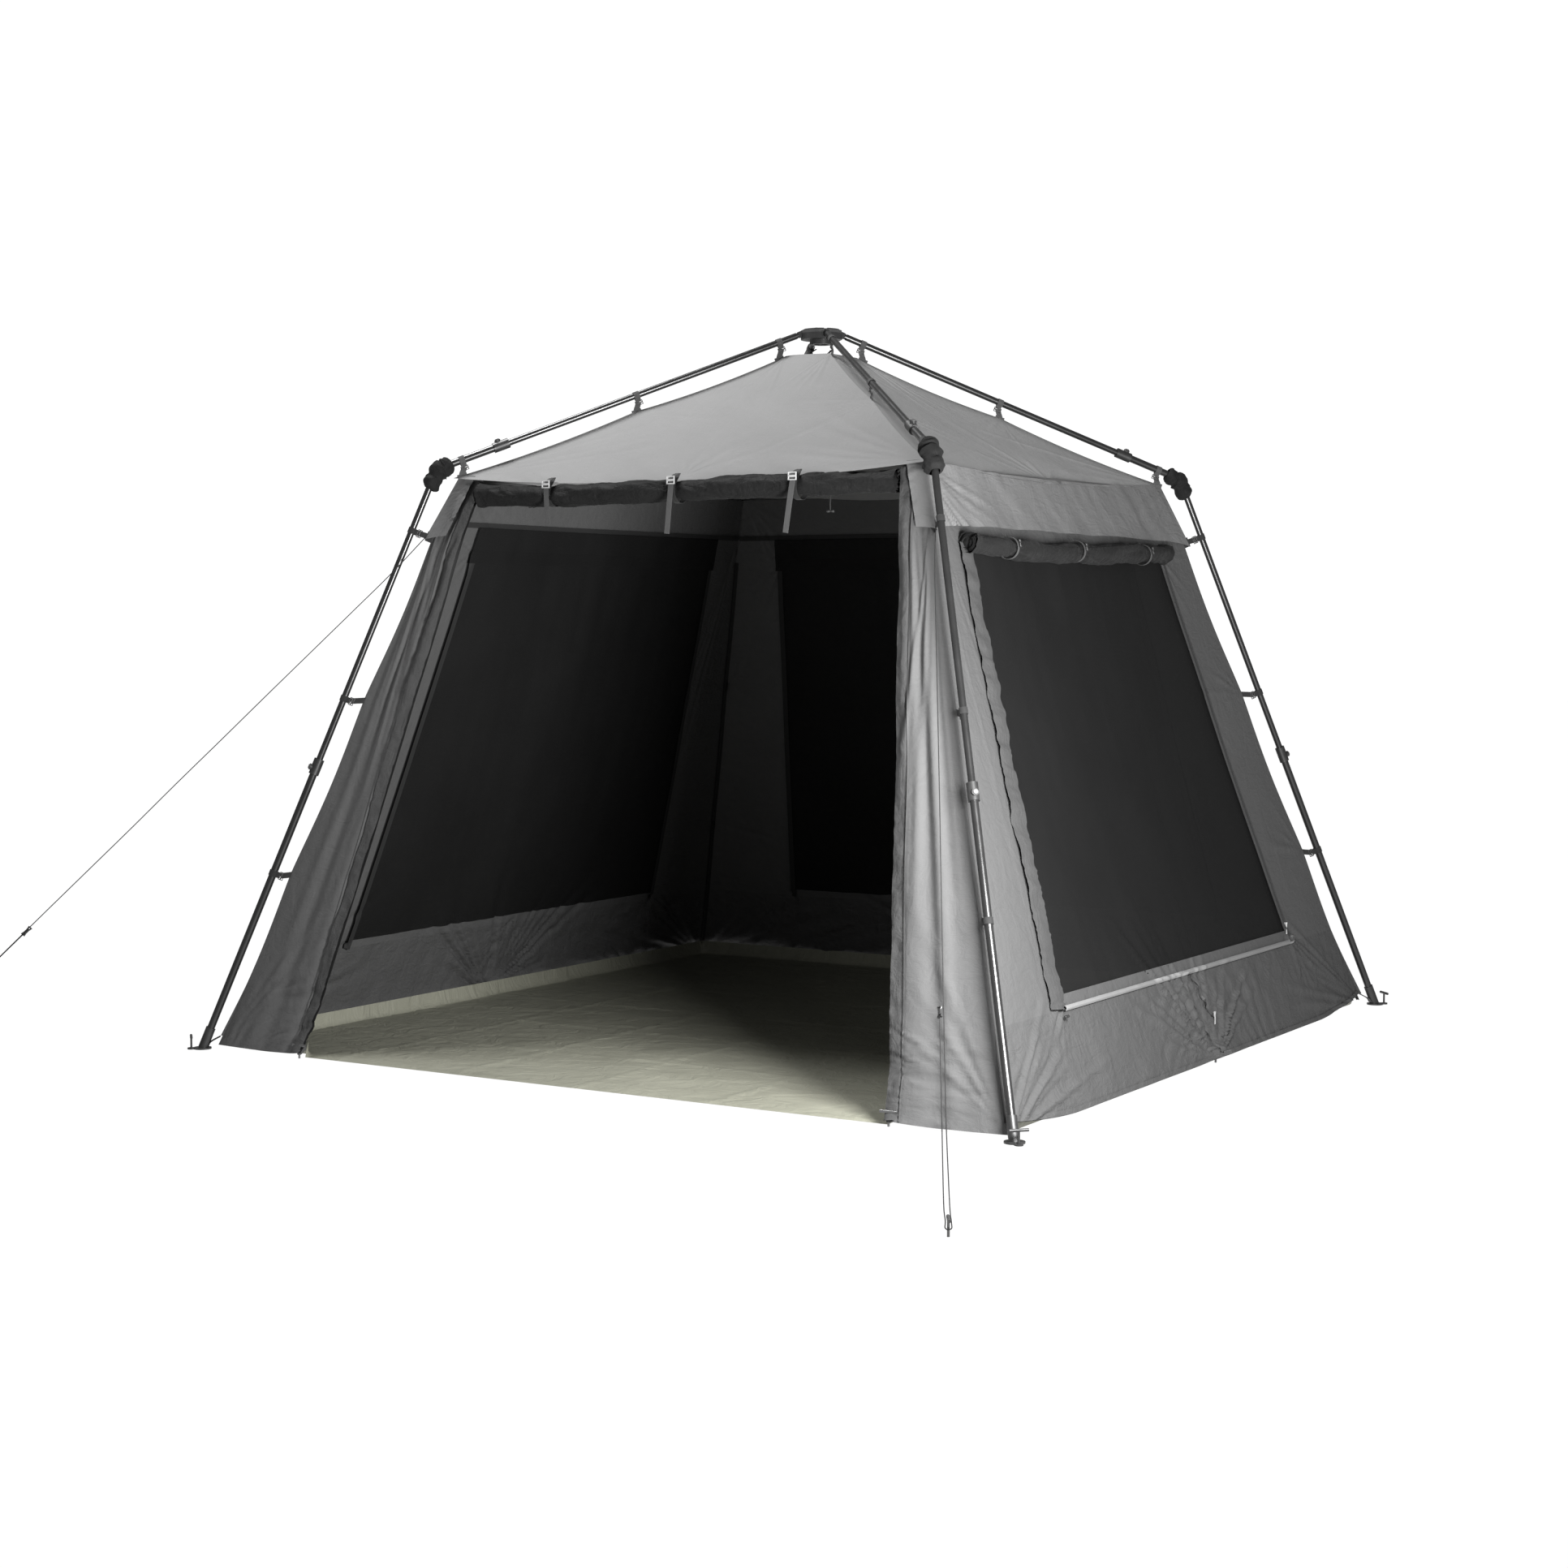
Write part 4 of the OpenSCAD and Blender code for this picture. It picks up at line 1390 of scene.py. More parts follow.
@dataclass
class FrontWall(Wall):
    """The front: two wings beside the doorway, each with a folded strip along its free edge."""

    # Share of the wing's width, fold width and fold height, from the free edge outwards.
    LONG_FOLDS = ((0.18, 0.030, 0.018), (0.42, 0.042, 0.026), (0.60, 0.030, 0.017), (0.83, 0.036, 0.022))

    step: float = 0.0085
    hem_rise: float = 0.008

    @property
    def pegs(self) -> list[float]:
        """The hem is held at the corners and at the wings' free edges."""
        door = float(PLAN.door_half(0.0))
        return [-PLAN.tent_half, -door, door, PLAN.tent_half]

    def __post_init__(self) -> None:
        """Draws the wings' long hanging folds."""
        super().__post_init__()
        draw = np.random.default_rng(23)
        self.folds = []
        for half in (-1, 1):
            for share, width, height in self.LONG_FOLDS:
                top = (half * (0.815 + 0.12 * share), 1.78 - 0.1 * draw.uniform(0, 1))
                shift = draw.uniform(-0.02, 0.02)
                foot = (half * (1.13 + 0.31 * share + shift), -0.5 * draw.uniform(0.2, 1.0))
                self.folds.append(Fold(top, foot, width, height))
            down = -90 + 14 * half
            tip, corner = (half * 0.935, 1.71), (half * 1.44, 0.03)
            rise = (90 + 20 * half, 90 + 60 * half)
            self.folds += fan(tip, (down - 13, down + 13), 7, (0.35, 1.3), 0.013, 0.014, 31 + half)
            self.folds += fan(corner, rise, 4, (0.3, 0.8), 0.02, 0.008, 41 + half)

    def inner_x(self, z: Array) -> Array:
        """Half width at a wing's free edge."""
        return PLAN.door_half(z) + 0.004 * self.ripple.at(np.asarray(z) * 3.0, np.asarray(z) * 0 + 8)

    def build(self) -> None:
        """Builds the two wings."""
        z_values = lines(0.0, PLAN.split_z, PLAN.wall_top_z, step=self.step)
        split = int(np.argmin(np.abs(z_values - PLAN.split_z)))
        for half in (-1, 1):
            share = np.linspace(0, 1, 44) if half > 0 else -np.linspace(1, 0, 44)
            s, z = np.meshgrid(share, z_values)
            x = np.sign(half) * (self.inner_x(z) + (self.edge_x(z) - self.inner_x(z)) * np.abs(s))
            z = self.hem_z(x) + z * (PLAN.wall_top_z - self.hem_z(x)) / PLAN.wall_top_z
            whole = self.net(x, z)
            parts = ((Level.LOWER, slice(0, split + 1)), (Level.UPPER, slice(split, len(z_values))))
            for level, rows in parts:
                net = whole.part(rows, slice(0, len(share)))
                piece = build_piece(self.name("wing", half, level), [net], [self.finishes.wing])
                self.hang(piece, half, level)
                self.declare(piece, net, half, "wall_fabric", ["wall_front"])
                self.make_strip(half, level)
        log.info("front wall: two wings")

    def make_strip(self, half: int, level: Level) -> None:
        """Builds the folded strip and the zip tape along a wing's free edge."""
        low, high = (0.012, PLAN.split_z) if level is Level.LOWER else (PLAN.split_z, PLAN.wall_top_z - 0.01)
        strip = self.ribbon(
            lambda z: (half * (self.inner_x(z) + 0.014), z), (low, high), 0.036, 0.008, 0.006, 0.06, 0.004
        )
        tape = self.ribbon(lambda z: (half * (self.inner_x(z) - 0.001), z), (low, high), 0.010, 0.001)
        seam = self.ribbon(lambda z: (half * (self.inner_x(z) + 0.040), z), (low, high), 0.006, 0.0035)
        piece = build_piece(
            self.name("door_strip", half, level),
            [strip, tape, seam],
            [self.finishes.flap, self.finishes.dark_webbing, self.finishes.wing],
        )
        self.hang(piece, half, level)


# ---- Rolls ------------------------------------------------------------------------------------


@dataclass
class Roll:
    """A panel of cloth rolled up on itself: a spiral, pinched by its ties, with loose ends."""

    name: str
    side: Side
    length: tuple[float, float]
    height: float
    distance: float
    radius: float
    panel_height: float
    ties: tuple[float, ...]
    nodes: tuple[str, ...]
    material: bpy.types.Material
    seed: int
    pinch: float = 0.16
    crease: float = 0.26

    def net(self) -> ClothNet:
        """The spiral sheet's net: rows go round the roll, columns along it."""
        layer = math.pi * self.radius**2 / self.panel_height
        turns = self.radius * 0.93 / layer
        coarse = lines(0.12, max(turns - 2.2, 0.5), step=1 / 16)
        fine = lines(max(turns - 2.2, 0.5), turns, step=1 / 40)
        w = np.concatenate([coarse, fine[1:]])
        x_values = lines(self.length[0], 0.0, self.length[1], step=0.0085)
        x, turn = np.meshgrid(x_values, w)
        ripple, lump = Ripple(self.seed), Ripple(self.seed + 1)
        base = layer * turn
        share = base / self.radius
        pinch = sum(np.exp(-(((x - t) / 0.022) ** 2)) for t in self.ties)
        ends = np.minimum(x - self.length[0], self.length[1] - x)
        flare = np.exp(-ends / 0.028)
        angle = 2 * math.pi * turn
        spin = angle % (2 * math.pi)
        shape = 1 + 0.21 * lump.layered(x * 5.0, np.sin(spin) * 0.9 + 3, 2) * share
        twist_line = x * 9.0 + np.sin(spin + 0.6) * 1.3
        shape += self.crease * lump.creased(twist_line, np.cos(spin) * 1.2 + 5 + x * 1.5, 3) * share
        shape = shape * (1 - self.pinch * pinch) * (1 + 0.24 * flare * share)
        radius = base * shape
        loose = ripple.at(x * 0 + self.seed, x * 3)
        twist = 0.25 * ripple.layered(x * 2.5, x * 0 + 4, 2) + 0.5 * flare * loose
        phase = angle + twist
        sway = 0.006 * ripple.layered(x * 2.0, x * 0 + 1, 2)
        droop = 0.008 * np.sin(math.pi * (x - self.length[0]) / (self.length[1] - self.length[0]))
        y = -self.distance - radius * np.cos(phase) + sway * 0.5
        z = self.height + radius * 0.92 * np.sin(phase) - droop + sway
        end_shift = 0.010 * ripple.at(turn * 0.9, x * 0 + 2) * flare
        points = self.side.to_room(np.stack([x + end_shift, y, z], axis=-1))
        weave = np.stack([x, math.pi * layer * turn * turn], axis=-1)
        return ClothNet(points, weave)

    def hang(self, piece: bpy.types.Object, x: float) -> None:
        """Makes a piece at x ride on the leg of its half of the roll."""
        half = -1 if x < 0 else 1
        x_end = self.length[0] if half < 0 else self.length[1]
        anchor = self.side.to_room(np.array([x_end, -self.distance, self.height]))
        axis = self.side.to_room(np.array([1.0, 0.0, 0.0]))
        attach(piece, f"leg_upper_{self.side.corner(half).code}")
        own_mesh(piece)

    def build(self) -> None:
        """Builds the roll in two halves, each on its corner's leg."""
        net = self.net()
        middle = int(np.argmin(np.abs(net.weave[0, :, 0])))
        rows = slice(0, net.points.shape[0])
        for half, columns in ((-1, slice(0, middle + 1)), (1, slice(middle, net.points.shape[1]))):
            part = net.part(rows, columns)
            corner = self.side.corner(half)
            piece = build_piece(f"{self.name}_{corner.code}", [part], [self.material])
            self.hang(piece, half)
            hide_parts(*self.nodes)
            flat, area = part.cut_size()
        log.info("%s: a spiral roll in two halves", self.name)


# ---- Webbing ----------------------------------------------------------------------------------


@dataclass
class Band:
    """A flat strip of webbing swept along points: width and thickness in metres."""

    path: Array
    across: Array
    width: float
    thick: float = 0.0014

    def net(self) -> ClothNet:
        """The strip's closed skin as a net, with rows round its section and columns along it."""
        path = np.asarray(self.path, float)
        across = np.broadcast_to(np.asarray(self.across, float), path.shape)
        heading = np.gradient(path, axis=0)
        heading /= np.maximum(np.linalg.norm(heading, axis=1, keepdims=True), 1e-12)
        across = across - (across * heading).sum(1, keepdims=True) * heading
        across = across / np.linalg.norm(across, axis=1, keepdims=True)
        up = np.cross(heading, across)
        w, h = self.width / 2, self.thick / 2
        b = min(0.0006, h)
        low = [(-w, -h + b), (-w + b, -h), (w - b, -h), (w, -h + b)]
        high = [(w, h - b), (w - b, h), (-w + b, h), (-w, h - b)]
        section = [*low, *high, low[0]]
        rows = [path + across * a + up * c for a, c in section]
        along = np.concatenate([[0], np.cumsum(np.linalg.norm(np.diff(path, axis=0), axis=1))])
        weave = np.stack([np.stack([along, np.full_like(along, a + c)], axis=-1) for a, c in section])
        return ClothNet(np.stack(rows), weave)


def arc(
    centre: Array, first: Array, second: Array, radius: float, start: float, end: float, count: int
) -> Array:
    """Points of an arc, with its angles in degrees from the first direction towards the second."""
    angles = np.radians(np.linspace(start, end, count))
    return centre + radius * (np.outer(np.cos(angles), first) + np.outer(np.sin(angles), second))


def curve_through(points: Sequence[Sequence[float]], steps: int = 6) -> Array:
    """A smooth curve through the points."""
    p = np.asarray(points, float)
    p = np.vstack([2 * p[0] - p[1], p, 2 * p[-1] - p[-2]])
    out = []
    for k in range(1, len(p) - 2):
        t = np.linspace(0, 1, steps, endpoint=False)[:, None]
        a, b, c, d = p[k - 1], p[k], p[k + 1], p[k + 2]
        square, cube = (2 * a - 5 * b + 4 * c - d) * t**2, (3 * b - a - 3 * c + d) * t**3
        out.append(0.5 * (2 * b + (c - a) * t + square + cube))
    out.append(p[-2][None])
    return np.vstack(out)


@dataclass
class PoleStraps:
    """Webbing from the tent to the arms and legs: a loop round the tube and a tail to the cloth."""

    finishes: Finishes
    buckle: bpy.types.Object
    width: float = 0.020

    def strap(
        self, name: str, centre: Array, along: Array, tube_r: float, target: Array, dark: bool
    ) -> bpy.types.Object:
        """Builds one strap.

        Args:
            name: The piece's name.
            centre: Point of the tube's axis.
            along: Direction of the tube.
            tube_r: Outer radius of the tube.
            target: Point on the cloth where the strap is sewn.
            dark: Whether the webbing is the dark kind.

        Returns:
            The strap.
        """
        along = along / np.linalg.norm(along)
        down = target - centre
        down = down - (down @ along) * along
        down /= np.linalg.norm(down)
        side = np.cross(along, down)
        r = tube_r + 0.0016
        loop = arc(centre, down, side, r, 22, 338, 22)
        meet = centre + down * (r + 0.010)
        path = np.vstack([meet - side * 0.0012, loop, meet + side * 0.0012])
        end = target + down * 0.016 + side * 0.001
        tail = curve_through([meet, (meet + target) / 2 + side * 0.002, target, end], 5)
        webbing = self.finishes.dark_webbing if dark else self.finishes.webbing
        nets = [Band(path, along, self.width).net(), Band(tail, along, self.width * 0.95, 0.0024).net()]
        patch = np.array([target - down * 0.004, target + down * 0.022])
        patch_line = curve_through([patch[0], patch.mean(0), patch[1]], 3)
        nets.append(Band(patch_line, along, self.width * 1.7, 0.0018).net())
        piece = build_piece(name, nets, [webbing] * 3)
        ring = copy_piece(self.buckle, name + "_ring", basis(along, side, down, meet + down * 0.004))
        ring.parent = piece
        return piece

    def build(self) -> None:
        """Builds the straps of the four arms and the four legs."""
        for corner in Corner:
            arm = PLAN.arm_point(corner, 1.2) - PLAN.arm_point(corner, 0.2)
            for k, radial in enumerate(PLAN.arm_strap_radials):
                outer = radial > 1.1
                centre = PLAN.arm_point(corner, radial)
                tube_r = PLAN.thick_tube_r if outer else PLAN.thin_tube_r
                target = PLAN.ridge_point(corner, radial) + np.array([0, 0, 0.001])
                piece = self.strap(f"arm_strap_{corner.code}_{k + 1}", centre, arm, tube_r, target, False)
                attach(piece, f"arm_{'outer' if outer else 'inner'}_{corner.code}")
            leg = PLAN.leg_point(corner, 0.4) - PLAN.leg_point(corner, 1.6)
            for k, z in enumerate(PLAN.strap_heights):
                self.leg_strap(corner, k, z, leg)
        log.info("straps: three on each arm and three on each leg")

    def leg_strap(self, corner: Corner, k: int, z: float, leg: Array) -> None:
        """Builds one strap of a leg; the middle one and its ring get meshes of their own, and the ring hangs
        on the tube itself.
        """
        lower = z < PLAN.split_z
        centre = PLAN.leg_point(corner, z)
        half = PLAN.band_half if k == 0 else float(PLAN.wall_half(z))
        target = corner.at(half * math.sqrt(2) + 0.004, z - (0.018 if k == 0 else 0.006))
        tube_r = PLAN.thick_tube_r if lower else PLAN.thin_tube_r
        name = f"leg_strap_{corner.code}_{k + 1}"
        piece = self.strap(name, centre, leg, tube_r, target, True)
        body = f"leg_{'lower' if lower else 'upper'}_{corner.code}"
        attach(piece, body)
        if k == 1:
            axis = leg / np.linalg.norm(leg)
            anchor = PLAN.leg_point(corner, PLAN.elbow_z)
            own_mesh(piece)
            ring = piece.children[0]
            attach(ring, body)
            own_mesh(ring)


# ---- Hard pieces ------------------------------------------------------------------------------


def basis(x: Array, y: Array, z: Array, origin: Array) -> Matrix:
    """The matrix that takes the world's axes to three directions at a point."""
    rows = [[*(float(v[i]) for v in (x, y, z)), float(origin[i])] for i in range(3)]
    return Matrix([*rows, [0, 0, 0, 1]])


def copy_piece(template: bpy.types.Object, name: str, place: Matrix) -> bpy.types.Object:
    """Copies a modelled piece with its own mesh, with its place in that mesh."""
    mesh = template.data.copy()
    mesh.name = name
    mesh.transform(place)
    piece = bpy.data.objects.new(name, mesh)
    bpy.context.scene.collection.objects.link(piece)
    return piece


class Bench:
    """Models small hard pieces by hand operations, from primitives."""

    @staticmethod
    def clear() -> None:
        """Deselects everything."""
        bpy.ops.object.select_all(action="DESELECT")

    @staticmethod
    def pick(piece: bpy.types.Object, test: Callable[[bpy.types.MeshPolygon], bool]) -> None:
        """Selects the faces that pass a test, in edit mode."""
        bpy.ops.object.mode_set(mode="OBJECT")
        for element in (*piece.data.vertices, *piece.data.edges, *piece.data.polygons):
            element.select = False
        for face in piece.data.polygons:
            face.select = test(face)
        bpy.ops.object.mode_set(mode="EDIT")
        bpy.ops.mesh.select_mode(type="FACE")

    @staticmethod
    def finish(
        piece: bpy.types.Object, name: str, width: float, material: bpy.types.Material
    ) -> bpy.types.Object:
        """Rounds the edges, shades, gives the finish and hides the template from the object."""
        bpy.ops.object.mode_set(mode="OBJECT")
        bevel = piece.modifiers.new("round", "BEVEL")
        bevel.width = width
        bevel.segments = 2
        bevel.limit_method = "ANGLE"
        bevel.angle_limit = math.radians(28)
        bpy.ops.object.modifier_apply(modifier=bevel.name)
        bpy.ops.object.transform_apply(location=True, rotation=True, scale=True)
        bpy.ops.object.shade_smooth_by_angle(angle=math.radians(40))
        piece.name = name
        piece.data.materials.clear()
        piece.data.materials.append(material)
        piece.hide_render = True
        Bench.clear()
        return piece

    @staticmethod
    def ladder_buckle(
        material: bpy.types.Material, width: float, height: float, thick: float
    ) -> bpy.types.Object:
        """A plate with two slots for webbing: x is its width, z its height."""
        Bench.clear()
        bpy.ops.mesh.primitive_cube_add(size=1)
        piece = bpy.context.object
        piece.scale = (width, thick, height)
        bpy.ops.object.transform_apply(scale=True)
        bpy.ops.object.mode_set(mode="EDIT")
        bpy.ops.mesh.select_all(action="SELECT")
        bpy.ops.mesh.bisect(plane_co=(0, 0, 0), plane_no=(0, 0, 1))
        Bench.pick(piece, lambda f: abs(f.normal.y) > 0.9)
        bpy.ops.mesh.inset(thickness=height * 0.13, use_individual=True)
        for sign in (-1, 1):
            Bench.pick(
                piece,
                lambda f, s=sign: abs(f.normal.y) > 0.9
                and abs(f.center.x) < 1e-5
                and abs(f.center.z - s * height / 4) < height * 0.02
                and f.area < width * height * 0.42,
            )
            bpy.ops.mesh.bridge_edge_loops()
        return Bench.finish(piece, "ladder_buckle", thick * 0.22, material)

    @staticmethod
    def toggle(material: bpy.types.Material, length: float, radius: float) -> bpy.types.Object:
        """A small bar with a waist for its loop: x is its length."""
        Bench.clear()
        turn = (0, math.pi / 2, 0)
        bpy.ops.mesh.primitive_cylinder_add(vertices=20, radius=radius, depth=length, rotation=turn)
        piece = bpy.context.object
        bpy.ops.object.transform_apply(rotation=True)
        bpy.ops.object.mode_set(mode="EDIT")
        bpy.ops.mesh.select_all(action="SELECT")
        for share in (-0.22, -0.1, 0.1, 0.22):
            bpy.ops.mesh.select_all(action="SELECT")
            bpy.ops.mesh.bisect(plane_co=(share * length, 0, 0), plane_no=(1, 0, 0))
        Bench.pick(piece, lambda f: abs(f.center.x) < 0.09 * length)
        bpy.ops.transform.resize(value=(1, 0.62, 0.62))
        Bench.pick(piece, lambda f: abs(f.normal.x) > 0.9)
        bpy.ops.mesh.inset(thickness=radius * 0.35)
        bpy.ops.transform.resize(value=(1.08, 1, 1))
        return Bench.finish(piece, "toggle", radius * 0.18, material)

    @staticmethod
    def runner(material: bpy.types.Material) -> bpy.types.Object:
        """A guy line runner: a flat bar with a hole at each end, z along the line."""
        Bench.clear()
        bpy.ops.mesh.primitive_cube_add(size=1)
        piece = bpy.context.object
        piece.scale = (0.014, 0.006, 0.034)
        bpy.ops.object.transform_apply(scale=True)
        bpy.ops.object.mode_set(mode="EDIT")
        for z in (-0.006, 0.006):
            bpy.ops.mesh.select_all(action="SELECT")
            bpy.ops.mesh.bisect(plane_co=(0, 0, z), plane_no=(0, 0, 1))
        Bench.pick(piece, lambda f: abs(f.normal.y) > 0.9 and abs(f.center.z) > 0.006)
        bpy.ops.mesh.inset(thickness=0.0032, use_individual=True)
        for sign in (-1, 1):
            Bench.pick(
                piece,
                lambda f, s=sign: abs(f.normal.y) > 0.9
                and abs(f.center.x) < 1e-5
                and abs(f.center.z - s * 0.0115) < 0.001
                and f.area < 0.00008,
            )
            bpy.ops.mesh.bridge_edge_loops()
        Bench.pick(piece, lambda f: abs(f.normal.x) > 0.9 and abs(f.center.z) < 0.005)
        bpy.ops.transform.resize(value=(0.6, 1, 1))
        return Bench.finish(piece, "runner", 0.0012, material)

    @staticmethod
    def zip_pull(material: bpy.types.Material) -> bpy.types.Object:
        """A zip slider with its hanging puller: z upward, y outward."""
        Bench.clear()
        bpy.ops.mesh.primitive_cube_add(size=1)
        piece = bpy.context.object
        piece.scale = (0.011, 0.006, 0.014)
        bpy.ops.object.transform_apply(scale=True)
        bpy.ops.object.mode_set(mode="EDIT")
        Bench.pick(piece, lambda f: f.normal.z < -0.9)
        bpy.ops.transform.resize(value=(0.6, 0.8, 1))
        bpy.ops.mesh.extrude_region_move(TRANSFORM_OT_translate={"value": (0, -0.002, -0.006)})
        bpy.ops.transform.resize(value=(0.75, 0.5, 1))
        bpy.ops.mesh.extrude_region_move(TRANSFORM_OT_translate={"value": (0, 0, -0.022)})
        bpy.ops.transform.resize(value=(1.6, 1, 1))
        return Bench.finish(piece, "zip_pull", 0.0008, material)


# ---- Rigging of the front and the windows -----------------------------------------------------


@dataclass
class DoorTies:
    """The three straps that hold the rolled door, with their buckles, and two small toggles."""

    finishes: Finishes
    buckle: bpy.types.Object
    toggle: bpy.types.Object
    roll: Roll
    places: tuple[tuple[float, float], ...] = ((-0.49, 1.735), (0.0, 1.695), (0.45, 1.69))
    toggles: tuple[tuple[float, float], ...] = ((-0.58, 1.795), (0.56, 1.755))

    def build(self) -> None:
        """Builds the ties."""
        yc, zc, r = -self.roll.distance, self.roll.height, self.roll.radius
        for k, (x, low) in enumerate(self.places):
            round_r = r * 0.96
            top = np.array([x, yc - 0.004, PLAN.eave_z - 0.018])
            centre = np.array([x, yc, zc - 0.006])
            wrap = arc(centre, np.array([0, -1, 0]), np.array([0, 0, 1]), round_r, 55, -190, 22)
            path = np.vstack([[top], wrap])
            front = np.array([x, yc - round_r - 0.006, zc + 0.012])
            sway = 0.010 if k == 0 else (-0.012 if k == 1 else -0.022)
            tail = curve_through(
                [
                    top + np.array([0, -0.012, -0.002]),
                    front + np.array([0, 0.002, 0.020]),
                    front,
                    front + np.array([sway * 0.3, -0.002, -0.045]),
                    np.array([x + sway, yc - round_r - 0.012, low]),
                ],
                6,
            )
            nets = [Band(path, (1, 0, 0), 0.021).net(), Band(tail, (1, 0, 0.1), 0.020).net()]
            both = [self.finishes.dark_webbing, self.finishes.webbing]
            piece = build_piece(f"door_strap_{k + 1}", nets, both)
            self.roll.hang(piece, x)
            spot = front + np.array([0, -0.002, 0.014])
            clip = copy_piece(self.buckle, f"door_buckle_{k + 1}", Matrix.Translation(Vector(spot)))
            clip.data.materials.clear()
            clip.data.materials.append(self.finishes.buckle)
            self.roll.hang(clip, x)
        for k, (x, z) in enumerate(self.toggles):
            end = (x, yc - 0.002, z)
            loop = curve_through([(x, yc, zc - r * 0.8), (x, yc - 0.004, (zc - r + z) / 2), end], 5)
            net = Band(loop, (1, 0, 0), 0.004, 0.003).net()
            cord = build_piece(f"door_toggle_loop_{k + 1}", [net], [self.finishes.cord])
            self.roll.hang(cord, x)
            bar = copy_piece(self.toggle, f"door_toggle_{k + 1}", Matrix.Translation(Vector(end)))
            self.roll.hang(bar, x)
        log.info("door ties: three straps with buckles and two toggles")


@dataclass
class WindowTies:
    """The ties of the rolled window cover, the toggle under the storm strip and the zip pulls."""

    finishes: Finishes
    toggle: bpy.types.Object
    pull: bpy.types.Object
    roll: Roll
    wall: WindowWall

    def build(self) -> None:
        """Builds the ties and pulls."""
        side = self.roll.side
        for k, x in enumerate(self.roll.ties):
            ring = arc(
                np.array([x, -self.roll.distance, self.roll.height - 0.004]),
                np.array([0, -1, 0]),
                np.array([0, 0, 1]),
                self.roll.radius * 0.93,
                100,
                -200,
                24,
            )
            top = np.array([[x + 0.004, -self.roll.distance + 0.012, self.roll.height + 0.036]])
            path = side.to_room(np.vstack([top, ring]))
            net = Band(path, side.to_room(np.array([1.0, 0, 0])), 0.012).net()
            piece = build_piece(f"window_tie_{k + 1}", [net], [self.finishes.webbing])
            self.roll.hang(piece, x)
            y = -self.roll.distance - self.roll.radius - 0.002
            spot = side.to_room(np.array([x, y, self.roll.height + 0.010]))
            turn = Matrix.Rotation(math.radians(side.value), 4, "Z")
            turn = turn @ Matrix.Rotation(math.radians(70), 4, "Y")
            bar = copy_piece(self.toggle, f"window_toggle_{k + 1}", Matrix.Translation(Vector(spot)) @ turn)
            self.roll.hang(bar, x)
        self.pulls()
        log.info("window ties: three ties with toggles, and zip pulls")

    def pulls(self) -> None:
        """Places the short zip down the mud wall, its pull, and the toggle below the storm strip."""
        wall = self.wall
        low = wall.ribbon(
            lambda t: (0.008 + 0.055 * (wall.mud_z - t) / 0.15, t), (0.135, wall.mud_z - 0.004), 0.008, 0.007
        )
        piece = build_piece("mud_wall_zip", [low], [self.finishes.zip])
        wall.hang(piece, 1, Level.LOWER)
        turn = Matrix.Rotation(math.radians(wall.side.value), 4, "Z")
        spots = (("mud_wall_zip_pull", 0.063, 0.140), ("window_zip_pull", PLAN.window_half(0.33), 0.345))
        for name, x, z in spots:
            spot = wall.at(np.array(x), np.array(z), 0.014)
            tag = copy_piece(self.pull, name, Matrix.Translation(Vector(spot.tolist())) @ turn)
            wall.hang(tag, 1, Level.LOWER)
        spot = wall.at(np.array(-PLAN.window_half(0.27) - 0.02), np.array(0.262), 0.012)
        bar = copy_piece(self.toggle, "storm_strip_toggle", Matrix.Translation(Vector(spot.tolist())) @ turn)
        wall.hang(bar, -1, Level.LOWER)


@dataclass
class HubStraps:
    """Two thick dark straps from the hub's cup to the crown."""

    finishes: Finishes

    def build(self) -> None:
        """Builds the straps."""
        low = PLAN.hub_z - 0.060
        ends = (
            ((-0.020, -0.012, low + 0.004), (-0.045, -0.052, PLAN.crown_z - 0.002)),
            ((0.030, 0.020, low + 0.004), (0.060, -0.070, PLAN.crown_z - 0.001)),
        )
        for k, (top, foot) in enumerate(ends):
            top_point, foot_point = np.array(top), np.array(foot)
            middle = (top_point + foot_point) / 2 + np.array([0.006, -0.004, 0.0])
            tail = foot_point + np.array([-0.012, -0.012, 0.0])
            path = curve_through([top_point, middle, foot_point, tail], 6)
            width = 0.022 if k == 0 else 0.012
            nets = [Band(path, (0.8, -0.6, 0.0), width, 0.003).net()]
            piece = build_piece(f"hub_strap_{k + 1}", nets, [self.finishes.dark_webbing])
            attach(piece, "hub")
        log.info("hub straps: two")


